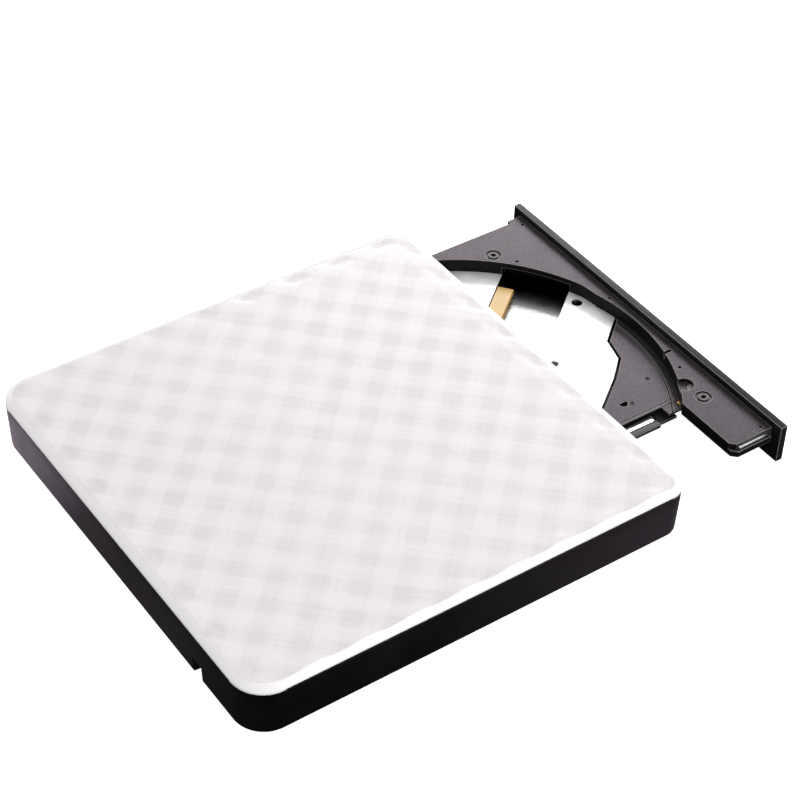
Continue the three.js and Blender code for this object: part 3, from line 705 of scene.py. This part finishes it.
def cover_rows():
    """The y of each row of the cover's grid, closer together at the ends."""
    close = [0.0, 0.03, 0.08, 0.16, 0.28]
    ends = [-HALF_Y + r for r in close] + [HALF_Y - r for r in close]
    return sorted(set(ends + list(np.arange(-HALF_Y + 0.5, HALF_Y - 0.45, COVER_STEP))))


def cover_columns():
    """Each column's place across a row, from -1 to 1, closer together at the ends."""
    count = int(2 * HALF_X / COVER_STEP)
    middle = np.linspace(-1, 1, count - 7)[1:-1] * (1 - 0.5 / HALF_X)
    edge = np.array([0.03, 0.08, 0.16, 0.28]) / HALF_X
    return np.concatenate([[-1], -1 + edge, middle, 1 - edge[::-1], [1]])


def half_width(y):
    """Half of the case's width at y, less where its corners are round."""
    radius = REAR_RADIUS if y > 0 else FRONT_RADIUS
    into = abs(y) - (HALF_Y - radius)
    lost = radius - math.sqrt(max(radius ** 2 - into ** 2, 0)) if into > 0 else 0
    return max(HALF_X - lost, HALF_X - radius)


def make_cover():
    rows = cover_rows()
    columns = cover_columns()
    vertices = []
    for y in rows:
        x = columns * half_width(y)
        vertices.extend(zip(x, [y] * len(x), cover_top_height(x, np.full_like(x, y))))
    width = len(columns)
    faces = [
        (r * width + c, r * width + c + 1, (r + 1) * width + c + 1, (r + 1) * width + c)
        for r in range(len(rows) - 1) for c in range(width - 1)
    ]
    last = (len(rows) - 1) * width
    rim = (
        list(range(width))
        + [r * width + width - 1 for r in range(1, len(rows))]
        + [last + c for c in range(width - 2, -1, -1)]
        + [r * width for r in range(len(rows) - 2, 0, -1)]
    )
    # At the corners the skin goes down below the rim, in under the lip, round the tongue and up to
    # the ceiling. Along the straight sides the rim's points are in line, so offset() finds no place
    # for them, and the skin runs from the rim to the middle of the case instead.
    outline = [vertices[i][:2] for i in rim]
    size = len(rim)
    above = rim
    for inset, z in ((0, COVER_LOW), (1.95, COVER_LOW), (1.95, 13.6), (2.9, 13.6), (2.9, COVER_CEILING)):
        start = len(vertices)
        vertices.extend((x, y, z) for x, y in offset(outline, -inset))
        below = list(range(start, start + size))
        faces.extend(
            (above[(i + 1) % size], above[i], below[i], below[(i + 1) % size]) for i in range(size)
        )
        above = below
    faces.append(tuple(above)[::-1])
    return smooth(new_object("cover", vertices, faces), 32)


def make_cover_fittings(materials):
    skirt = soften(box("cover_skirt", -62.4, 62.4, -69.3, -67.7, 13.5, COVER_CEILING + 0.1), 0.15)
    show(smooth(skirt), materials["cover"], like="top_cover")
    top = COVER_CEILING + 0.1
    profile = [(0, 9.4), (0.85, 9.4), (0.85, 3.6), (1.1, 3.4), (2.3, 3.4), (2.5, 3.7), (2.5, top), (0, top)]
    for place, name in zip(COVER_POSTS, ("cover_post_left", "cover_post_right")):
        show(smooth(lathe(name, profile, upright(*place), 40)), materials["cover"], like="top_cover")


def base_skin():
    """The lower shell's outer skin, rounded at its foot and drawn in a little towards it."""
    rounding = 1.0
    steps = 6
    rings = []
    for i in range(steps + 1):
        turn = math.pi / 2 * i / steps
        rings.append(ring_at(DRAFT + rounding * (1 - math.sin(turn)), rounding * (1 - math.cos(turn))))
    for z in (5, 10, BASE_TOP - 0.25):
        rings.append(ring_at(DRAFT * (1 - z / BASE_TOP), z))
    rings.append(ring_at(0.06, BASE_TOP - 0.07))
    rings.append(ring_at(0.25, BASE_TOP))
    return layers("base", rings)


def make_base():
    base = base_skin()
    hollow = layers("base_hollow", [ring_at(2.1, 1.4), ring_at(1.6, BASE_TOP + 1)])
    combine(base, [hollow, box("mouth", -62.7, 62.7, -72, -66.9, -1, 16)])
    inside = [
        box("channel", -45.2, -38.4, 60.6, 68.2, 0.2, 6.7),
        *[box("rib", x - 1, x + 1, -60, 52, 1.2, 2.9) for x in (-48, 48)],
        *[box("rib", -48, 48, y - 1, y + 1, 1.2, 2.9) for y in (-58, 0, 50)],
        *[disc("boss", *place, 3.1, 1.2, 3.2) for place in COVER_POSTS],
    ]
    for tool in inside:
        combine(base, [tool], "UNION")
    cuts = [box("slot", -44.1, -39.5, 61.8, 75, -1, 5.6), box("neck", -40.5, -37.5, 62.2, 64.4, 1.8, 4.4)]
    for place in COVER_POSTS:
        cuts.append(disc("screw_hole", *place, 1, -1, 4, 32))
        cuts.append(disc("screw_seat", *place, 2.1, -1, 2, 40))
    cuts += [disc("foot_seat", *place, 5.2, -1, 0.6, 64) for place in FOOT_PLACES]
    # The slice of the rounded path leaves out its corner at (34, -30), so the recess is cut off aslant there.
    plate = [(-34, -30), (34, -30), (34, 24), (-34, 24), (-34, -30), (34, -30)]
    cuts.append(prism("plate_recess", rounded(plate, 3)[6:-1], -1, 0.25))
    combine(base, cuts)
    return smooth(base, 28)


def make_case(materials):
    show(make_cover(), materials["cover"], "top_cover")
    make_cover_fittings(materials)
    show(make_base(), materials["shell"], "base_shell")


# ---- tray ----

def make_bezel(materials):
    bezel = refined("bezel", "bezel_plate", bevel=0.3, segments=3)
    front = extent("bezel")[0][1]
    show(bezel, materials["bezel"], "bezel")
    (x0, _, z0), (x1, _, z1) = extent("eject_button")
    button = refined("eject_button", "eject_button_cap", bevel=0.35, segments=4)
    hollow = rounded([(0, front - 0.15), (1.2, front - 0.2), (1.6, front - 2), (0, front - 2)], 0.1)
    dish = lathe("dish", hollow, facing_front((x0 + x1) / 2, (z0 + z1) / 2))
    combine(button, [dish])
    show(smooth(button), materials["button"], "eject_button")
    (x0, y0, z0), (x1, y1, z1) = extent("led_lens")
    radius = (x1 - x0) / 2
    profile = rounded([(0, y0), (radius, y0 + 0.12), (radius, y1), (0, y1)], 0.3, 6)
    pipe = lathe("led_light_pipe", profile, facing_front((x0 + x1) / 2, (z0 + z1) / 2), 32)
    show(smooth(pipe), materials["led"], "led_lens")


def ring(name, x, y, inner, outer, z0, z1, count=180):
    bore = disc("bore", x, y, inner, z0 - 1, z1 + 1, count)
    return combine(disc(name, x, y, outer, z0, z1, count), [bore])


def crater(x, y, top_radius, low_radius, z0, z1, count=24):
    low = [(px, py, z0) for px, py in circle(x, y, low_radius, count)]
    high = [(px, py, z1) for px, py in circle(x, y, top_radius, count)]
    return layers("crater", [low, high])


def tray_details():
    """What is cut into the tray: rings, holes and pin marks in its top, grooves in its floor."""
    cuts = [ring("boss_ring", x, y, 1.5, 2.45, TRAY_TOP - 0.4, TRAY_TOP + 1, 64) for x, y in TRAY_BOSSES]
    cuts += [disc("boss_hole", x, y, 0.8, 7, 12, 32) for x, y in TRAY_BOSSES]
    cuts += [crater(x, y, 0.6, 0.4, TRAY_TOP - 0.7, TRAY_TOP + 0.1) for x, y in TRAY_PINS]
    cuts.append(box("edge_slot", -17.75, -16.65, -105.7, -103.2, 9.2, 12))
    cuts.append(prism("d_hole", arc(-24.6, -82.3, 1.35, 70, 290, 20), TRAY_FLOOR - 0.8, TRAY_FLOOR + 1))
    cuts.append(ring("floor_groove", *HUB, 58.4, 58.8, TRAY_FLOOR - 0.35, TRAY_FLOOR + 0.2))
    cuts.append(box("side_groove", -30.75, -30.4, -96, -40, TRAY_FLOOR - 0.3, TRAY_FLOOR + 0.2))
    return cuts


def deck_gap(x0, x1, low):
    """The part between x0 and x1 of the gap that runs round the deck in the tray's floor."""
    gap = prism("gap", offset(DECK_OUTLINE, 0.85), low, TRAY_FLOOR + 0.3)
    side = box("side", x0, x1, -120, 20, 3, 9)
    keep = combine(disc("keep", *HUB, 60.7, 4, 8, 180), [side], "INTERSECT")
    combine(gap, [prism("deck", offset(DECK_OUTLINE, 0.02), 4, 8)])
    return combine(gap, [keep], "INTERSECT")


def tray_lit_or_shaded_copy(x, z, upward):
    """Which copy of the tray's finish a face has: 0 on top; 1, a darker, duller copy, on walls and in sunk
    places, a painted shade; 2, a glossier copy, on the floor, a painted light.
    """
    sunk = (7.3 < z < 9.6 and x > -57) or 10.3 < z < 10.6 or (4.9 < z < 6.85 and x > -31.5)
    if abs(upward) < 0.5 or (upward > 0.5 and sunk):
        return 1
    return 2 if 6.8 < z < 7.3 else 0


def make_tray(materials):
    tray = refined("tray_frame", "tray_body")
    raised = [disc("boss_flat", x, y, 3.1, 10.6, TRAY_TOP, 64) for x, y in TRAY_BOSSES]
    raised += [crater(x, y, 0.35, 0.75, TRAY_FLOOR - 0.1, TRAY_FLOOR + 0.3) for x, y in FLOOR_BUMPS]
    combine(tray, raised, "UNION")
    combine(tray, tray_details())
    for x0, x1, low in ((-16.4, 70, 5.1), (-40, -16.4, 6.15)):
        combine(tray, [deck_gap(x0, x1, low)])
    show(smooth(tray), materials["tray"], "tray_frame")
    # Walls and sunk places get a darker, duller copy of the tray's finish, a painted shade; the floor gets a
    # glossier copy, a painted light.
    tray.data.materials.append(materials["tray_wall_painted_shade"])
    tray.data.materials.append(materials["tray_floor_painted_light"])
    for face in tray.data.polygons:
        x, _, z = face.center / MM
        face.material_index = tray_lit_or_shaded_copy(x, z, face.normal.z)


def make_rail(materials, node, outer):
    """The rail's body is dark and the strip that the balls run on is bright."""
    (x0, y0, z0), (x1, y1, z1) = extent(node)
    start, end = (x1 - 2.4, x1 - 0.7) if outer < 0 else (x0 + 0.7, x0 + 2.4)
    body = box(f"{node}_body", x0, x1, y0, y1, z0, z1 - 0.15)
    combine(body, [box("groove", start, end, y0 - 1, y1 + 1, z1 - 0.55, z1 + 1)])
    soften(body, 0.12)
    strip = box(f"{node}_strip", start + 0.1, end - 0.1, y0 + 0.6, y1 - 0.6, z1 - 0.55, z1)
    soften(strip, 0.1)
    show(smooth(body), materials["rail_dark"], node)
    show(smooth(strip), materials["rail"], like=node)


def make_deck(materials):
    deck = refined("deck_plate", "deck_sheet")
    top = extent("deck_plate")[1][2]
    grooves = [ring("dimple", x, y, 2.0, 2.4, top - 0.12, top + 1, 48) for x, y in DECK_SCREWS]
    grooves.append(ring("stamp", *HUB, 17.2, 17.7, top - 0.1, top + 1))
    grooves.append(box("stamp", 24, 50, -48.2, -47.8, top - 0.1, top + 1))
    grooves.append(box("stamp", 24, 50, -42.2, -41.8, top - 0.1, top + 1))
    combine(deck, grooves)
    show(smooth(deck), materials["deck"], "deck_plate")
    pan = refined("under_cover", "under_cover_sheet")
    bottom = extent("under_cover")[0][2]
    stamps = [ring("stamp", *HUB, 20, 20.5, bottom - 1, bottom + 0.12)]
    stamps += [ring("stamp", *HUB, 9, 9.4, bottom - 1, bottom + 0.12)]
    for inset in (4, 8):
        x0, x1, y0, y1 = -16.8 + inset, 55.7 - inset, -105.9 + inset, 14.3 - inset
        frame_line = box("stamp", x0, x1, y0, y1, bottom - 1, bottom + 0.12)
        combine(frame_line, [box("inner", x0 + 0.4, x1 - 0.4, y0 + 0.4, y1 - 0.4, bottom - 2, bottom + 1)])
        stamps.append(frame_line)
    combine(pan, stamps)
    show(smooth(pan), materials["pan"], "under_cover")


# ---- screws and feet ----

def screw(name, x, y, head_radius, head_low, head_high, shaft_radius, tip, seen_from_top):
    """A pan head with a cross recess on a plain shank. tip is the shank's far end."""
    face, back = (head_high, head_low) if seen_from_top else (head_low, head_high)
    head = [(0, face), (head_radius, face), (head_radius, back), (shaft_radius, back)]
    profile = rounded(head, 0.18) + [(shaft_radius, tip), (0, tip)]
    body = lathe(name, profile, upright(x, y), 48)
    reach = head_radius * 0.6
    deep = 0.35 if seen_from_top else -0.35
    z0, z1 = sorted((face - deep, face + deep))
    bars = [
        box("bar", x - reach, x + reach, y - 0.18, y + 0.18, z0, z1),
        box("bar", x - 0.18, x + 0.18, y - reach, y + reach, z0, z1),
    ]
    return smooth(combine(body, bars), 35)


def make_fasteners(materials):
    for index, (x, y) in enumerate(DECK_SCREWS):
        name = f"deck_screw_{index + 1}"
        show(screw(f"{name}_head", x, y, 1.15, 6.5, 7, 0.5, 4.4, True), materials["screw_black"], name)
    for (x, y), name in zip(COVER_POSTS, ("case_screw_left", "case_screw_right")):
        show(screw(f"{name}_head", x, y, 1.8, 0.8, 1.7, 0.7, 8.5, False), materials["screw"], name)
    for node in ("foot_rear_left", "foot_rear_right", "foot_front_left", "foot_front_right"):
        (x0, y0, z0), (x1, y1, z1) = extent(node)
        radius = (x1 - x0) / 2
        pad = [(0, z0 + 0.15), (radius - 2, z0 + 0.15), (radius - 1.7, z0), (radius - 0.5, z0)]
        profile = rounded([*pad, (radius, z0 + 0.4), (radius, z1), (0, z1)], 0.15)
        foot = lathe(f"{node}_pad", profile, upright((x0 + x1) / 2, (y0 + y1) / 2))
        show(smooth(foot), materials["rubber"], node)


# ---- spindle ----

def make_spindle(materials):
    put = upright(*HUB)
    stem = [(0, 4.1), (1, 4.1), (1, 6.3), (10.9, 6.3), (10.9, 4.9), (12.4, 4.9)]
    shoulder = [(12.4, 7.6), (11.9, 7.9), (7, 7.9), (0, 7.9)]
    rotor = smooth(lathe("rotor_can", rounded([*stem, *shoulder], 0.18), put, 96))
    show(rotor, materials["motor"], like="turntable")
    table = [(0, 7.85), (11.7, 7.85), (11.85, 8.1), (11.6, 9), (11.6, 8.7), (9.6, 8.7), (9.6, 9), (7.35, 9)]
    hub = [(7.35, 10.2), (6.4, 11.15), (2.4, 11.35), (1.6, 11.0), (0, 11.0)]
    seat = lathe("turntable_hub", rounded([*table, *hub], 0.1, 3), put, 96)
    slots = []
    for index in range(3):
        turn = math.radians(90 + 120 * index)
        slot = box("slot", 4.6, 9, -1.5, 1.5, 9.25, 10.95)
        slot.data.transform(Matrix.Translation(Vector((*HUB, 0)) * MM) @ Matrix.Rotation(turn, 4, "Z"))
        slots.append(slot)
    show(smooth(combine(seat, slots)), materials["turntable"], "turntable")
    # The slice of the rounded path leaves the ring's skin open underneath, where it lies on its seat.
    ring_path = [(9.8, 8.72), (11.4, 8.72), (11.4, 9.18), (9.8, 9.18), (9.8, 8.72), (11.4, 8.72)]
    loop = rounded(ring_path, 0.2)[5:-1]
    show(smooth(lathe("turntable_ring", loop, put, 96), 60), materials["rubber"], "turntable_rubber")
    for index in range(3):
        node = f"disc_claw_{index + 1}"
        claw = refined(node, f"{node}_tip", bevel=0.35, segments=4)
        show(smooth(claw, 40), materials["claw"], node)
    base = refined("spindle_base", "spindle_base_plate", bevel=0.1)
    show(base, materials["motor"], "spindle_base")


# ---- sled ----

def thread(phase):
    """Height of the screw's thread, 0 to 1, at a phase of its turn."""
    return max(0.0, min(1.0, (0.3 - abs(phase - 0.5)) / 0.08))


def make_lead_screw(materials):
    step, sides = 0.25, 24
    first, last = SCREW_SPAN
    rings = []
    for i in range(round((last - first) / step) + 1):
        u = first + i * step
        ends = min(1.0, max(0.0, min(u - THREAD_SPAN[0], THREAD_SPAN[1] - u)))
        loop = []
        for k in range(sides):
            turn = 2 * math.pi * k / sides
            radius = 0.76 + 0.22 * ends * thread((u / SCREW_PITCH + k / sides) % 1)
            loop.append(sled(u, SCREW_LINE + radius * math.cos(turn), ROD_Z + radius * math.sin(turn)))
        rings.append(loop)
    show(smooth(layers("lead_screw_thread", rings), 40), materials["bronze"], "lead_screw")


def make_rods(materials):
    for letter, line, end in (("a", ROD_LINES[0], 60), ("b", ROD_LINES[1], 57.6)):
        profile = [(0, 13.4), (0.6, 13.4), (0.8, 13.7), (0.8, end - 0.3), (0.6, end), (0, end)]
        rod = lathe(f"rod_{letter}", profile, along_sled(line, ROD_Z), 40)
        show(smooth(rod), materials["rod"], f"guide_rod_{letter}")
    for index in range(1, 5):
        holder = refined(f"rod_holder_{index}", f"rod_holder_{index}_block", bevel=0.2, degrees=35)
        show(holder, materials["holder"], f"rod_holder_{index}")
    motor = refined("stepper_motor", "stepper_can", bevel=0.12)
    show(motor, materials["motor"], "stepper_motor")


def make_pickup(materials):
    body = refined("pickup_body", "pickup_casting")
    pockets = [
        sled_box("pocket", 16.5, 28.5, -13.7, -5.4, 6.95, 9),
        sled_box("pocket", 16.3, 18.2, -3.6, 3.8, 6.9, 9),
        sled_box("pocket", 27.7, 29.0, -3.6, 3.8, 6.9, 9),
    ]
    combine(body, pockets)
    soften(body, 0.1, 2, 40)
    show(smooth(body, 35), materials["sled"], "pickup_body")
    board = sled_box("pickup_board", 17.0, 28.0, -13.2, -8.6, 6.97, 7.15)
    show(board, materials["board"], like="pickup_body")
    can = [(0, 6.9), (1.9, 6.9), (1.9, 7.25), (1.1, 7.3), (1.1, 7.2), (0, 7.2)]
    laser = lathe("laser_can", rounded(can, 0.08), upright(*sled(25.6, -7.0, 0)[:2]), 40)
    show(smooth(laser), materials["brass"], like="pickup_body")
    for index, u in enumerate((18.3, 20.6, 22.9)):
        chip = soften(sled_box(f"pickup_chip_{index + 1}", u, u + 1.5, -12.4, -9.6, 7.15, 7.5), 0.06)
        show(chip, materials["chip"], like="pickup_body")
    follower = refined("screw_follower", "screw_follower_tab", bevel=0.1)
    show(follower, materials["latch"], "screw_follower")


def make_lens(materials):
    holder = refined("lens_holder", "lens_carrier")
    x, y = sled(LENS_AT, 0, 0)[:2]
    combine(holder, [ring("bezel_ring", x, y, 2.35, 2.7, 8.3, 9, 64)])
    soften(holder, 0.18, 3, 40)
    show(smooth(holder, 35), materials["lens_holder"], "lens_holder")
    for side in (-1, 1):
        u = LENS_AT + side * 3.62
        coil = soften(sled_box(f"focus_coil_{2 + side}", u - 0.11, u + 0.11, -2.4, 2.4, 7.45, 8.25), 0.05)
        show(coil, materials["copper"], like="lens_holder")
    dome = [(1.5 * math.cos(t), 8.3 + 0.48 * math.sin(t)) for t in (math.pi / 2 * i / 12 for i in range(13))]
    profile = [(0, 7.95), (1.85, 7.95), (1.85, 8.28), *dome[:-1], (0, 8.78)]
    glass = lathe("lens_dome", profile, upright(x, y), 64)
    show(smooth(glass), materials["lens"], "objective_lens")


def make_slot_shade_sheet(materials):
    """A black sheet over the wall at the outer end of the slot, a painted shade there."""
    shade_sheet = soften(sled_box("slot_shade_sheet", SLOT_END, SLOT_END + 0.2, -15.3, 5.9, 4.4, 9.2), 0.05)
    show(shade_sheet, materials["slot_shade_black"], like="tray_frame")


def make_flexes(materials):
    """The tray and laser flex ribbons; the laser flex, squashed against the slot's end as the sled comes out,
    gets a mesh of its own.
    """
    show(smooth(refined("tray_flex", "tray_flex_ribbon"), 50), materials["flex_tray"], "tray_flex")
    ribbon = smooth(refined("pickup_flex", "pickup_flex_ribbon"), 50)
    show(ribbon, materials["flex"], "pickup_flex")
    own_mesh(ribbon)


# ---- the plainer pieces: the CAD shape with softened edges ----

SOFTENED = (
    ("rubber", 0.25, ("cable_gland",)),
    ("board", 0.08, ("bridge_board", "main_board", "tray_board")),
    ("chip", 0.12, ("bridge_chip", "controller_chip", "motor_driver_chip")),
    ("connector", 0.15, ("sata_socket", "sata_plug", "eject_switch")),
    ("foam", 0.5, ("foam_pad_front", "foam_pad_rear")),
    ("chassis", 0.12, ("chassis_pan", "chassis_lid")),
    ("guide", 0.12, ("guide_left", "guide_right")),
    ("rail", 0.15, ("wing_rail",)),
    ("brass", 0.06, ("ground_spring",)),
    ("copper", 0.2, ("solenoid",)),
    ("latch", 0.2, ("latch_hook",)),
)


def make_softened(materials):
    for finish, width, nodes in SOFTENED:
        for node in nodes:
            show(refined(node, f"{node}_piece", bevel=width, degrees=35), materials[finish], node)


# ---- the set of finishes ----

def flex_material(name, across, pitch):
    """Amber film with a row of conductors showing through as darker lines."""
    material = finish_material(name, (0.56, 0.37, 0.13), 0.4, specular=0.3, coat=0.1, edge=0)
    nodes = Nodes(material)
    wave = nodes.math("PINGPONG", nodes.math("DIVIDE", nodes.along(across), pitch * MM), 0.5)
    line = nodes.spread(wave, 0.16, 0.22, 1, 0, smooth=True)
    nodes.paint_over(nodes.math("MULTIPLY", line, 0.55), (0.36, 0.19, 0.045, 1))
    return material


def pan_material():
    """Bright sheet steel. Its upper side is painted from bright to black towards the outer end of the slot, a
    painted shade.
    """
    material = finish_material(
        "pan_steel", (0.88, 0.88, 0.89), 0.26, 1.0, grain=300, grain_depth=0.04, edge=0.08,
    )
    nodes = Nodes(material)
    hub = ALONG.dot(Vector((*HUB, 0))) * MM
    # Upper side painted black towards the slot's outer end: a painted shade.
    painted_shade = nodes.spread(nodes.along(ALONG), hub + 0.042, hub + 0.061, 0, 1)
    painted_shade = nodes.math("MULTIPLY", painted_shade, nodes.spread(nodes.upward(), 0.4, 0.6, 0, 1))
    nodes.paint_over(painted_shade, (0.002, 0.0018, 0.0022, 1))
    return material


def make_materials():
    m = finish_material
    # The tray, bezel, button, dark rail and black screw finishes get a painted highlight on their outer
    # edges.
    tray_finish = dict(
        grain=900, grain_depth=1.0, edge=0.32, edge_light=0.2, gloss_tint=(1.0, 0.78, 0.95), specks=0.06,
    )
    return {
        "cover": cover_material(),
        "shell": m(
            "shell_black", (0.0012, 0.001, 0.0015), 0.3, specular=0.55, grain_depth=0.12, edge=0.15,
            gloss_tint=(1.0, 0.9, 1.0),
        ),
        "rubber": m("rubber_black", (0.02, 0.02, 0.02), 0.7, grain=700, grain_depth=0.4),
        "screw": m("screw_zinc", (0.42, 0.43, 0.45), 0.32, 1.0),
        "screw_black": m("screw_black", (0.02, 0.02, 0.022), 0.3, 0.5, edge=0.1, edge_light=0.1),
        "board": m("board_green", (0.02, 0.11, 0.045), 0.35),
        "chip": m("chip_black", (0.012, 0.012, 0.014), 0.5),
        "connector": m("connector_black", (0.015, 0.015, 0.017), 0.45),
        "foam": m("foam_grey", (0.02, 0.02, 0.022), 0.95, grain=500, grain_depth=0.9),
        # Black for the sheet at the slot's end: a painted shade.
        "slot_shade_black": m(
            "slot_shade_black", (0.0015, 0.0014, 0.0016), 0.95, specular=0.02, grain=500, grain_depth=0.5,
        ),
        "chassis": m("chassis_zinc", (0.62, 0.63, 0.65), 0.34, 1.0, grain=250, wear=0.3),
        "guide": m("guide_black", (0.02, 0.02, 0.022), 0.45),
        "rail": m("rail_steel", (0.78, 0.79, 0.81), 0.2, 1.0, stretch=(1, 0.06, 1), edge=0.08),
        "flex": flex_material("flex_amber", ACROSS, 0.6),
        "flex_tray": flex_material("flex_amber_wide", (1, 0, 0), 0.8),
        "tray": m("tray_charcoal", (0.0055, 0.0045, 0.006), 0.33, specular=0.34, **tray_finish),
        # The tray's floor copy is glossier, a painted light; its wall copy is darker and duller, a painted
        # shade.
        "tray_floor_painted_light": m("tray_floor_painted_light", (0.0055, 0.0045, 0.006), 0.33, specular=0.44, **tray_finish),
        "tray_wall_painted_shade": m(
            "tray_wall_painted_shade", (0.0035, 0.003, 0.004), 0.4, specular=0.08, grain_depth=0.5,
            edge=0.32, edge_light=0.12,
        ),
        "deck": m(
            "deck_steel", (0.95, 0.95, 0.955), 0.5, 0.75, grain=300, grain_depth=0.06, wear=0.2, edge=0.08,
        ),
        "pan": pan_material(),
        "rail_dark": m("rail_dark", (0.008, 0.007, 0.009), 0.35, specular=0.15, edge=0.3, edge_light=0.25),
        "bezel": m(
            "bezel_charcoal", (0.005, 0.004, 0.0055), 0.42, specular=0.15, grain_depth=0.6,
            edge=0.45, edge_light=0.15, gloss_tint=(1.0, 0.85, 0.95),
        ),
        "led": m("led_clear", (0.55, 0.85, 0.55), 0.15, transmission=0.6),
        "button": m("button_charcoal", (0.014, 0.013, 0.015), 0.4, specular=0.35, edge=0.3, edge_light=0.15),
        "copper": m("coil_copper", (0.42, 0.17, 0.06), 0.35, 0.9, stretch=(1, 8, 1)),
        "claw": m("claw_white", (0.66, 0.65, 0.61), 0.35),
        "latch": m("acetal_white", (0.62, 0.60, 0.55), 0.4),
        "brass": m("spring_bronze", (0.42, 0.25, 0.08), 0.35, 1.0),
        "motor": m("motor_steel", (0.55, 0.56, 0.58), 0.3, 1.0),
        "turntable": m("turntable_dark", (0.04, 0.04, 0.043), 0.35),
        "rod": m("rod_chrome", (0.80, 0.81, 0.83), 0.1, 1.0, grain_depth=0.05, edge=0.05),
        "holder": m("holder_dark", (0.025, 0.025, 0.028), 0.5),
        "bronze": m("screw_bronze", (0.60, 0.50, 0.26), 0.25, 1.0, edge=0.05),
        "sled": m("sled_cast", (0.32, 0.33, 0.35), 0.4, 0.9, grain=500, grain_depth=0.5),
        "lens_holder": m("lens_holder_black", (0.012, 0.012, 0.014), 0.4),
        "lens": m("lens_blue", (0.35, 0.5, 0.85), 0.04, specular=0.8, coat=1.0, edge=0),
    }


add_camera()
add_studio()
finishes = make_materials()
make_case(finishes)
make_bezel(finishes)
make_tray(finishes)
make_rail(finishes, "rail_left", -1)
make_rail(finishes, "rail_right", 1)
make_deck(finishes)
make_fasteners(finishes)
make_spindle(finishes)
make_lead_screw(finishes)
make_rods(finishes)
make_pickup(finishes)
make_lens(finishes)
make_slot_shade_sheet(finishes)
make_flexes(finishes)
make_softened(finishes)
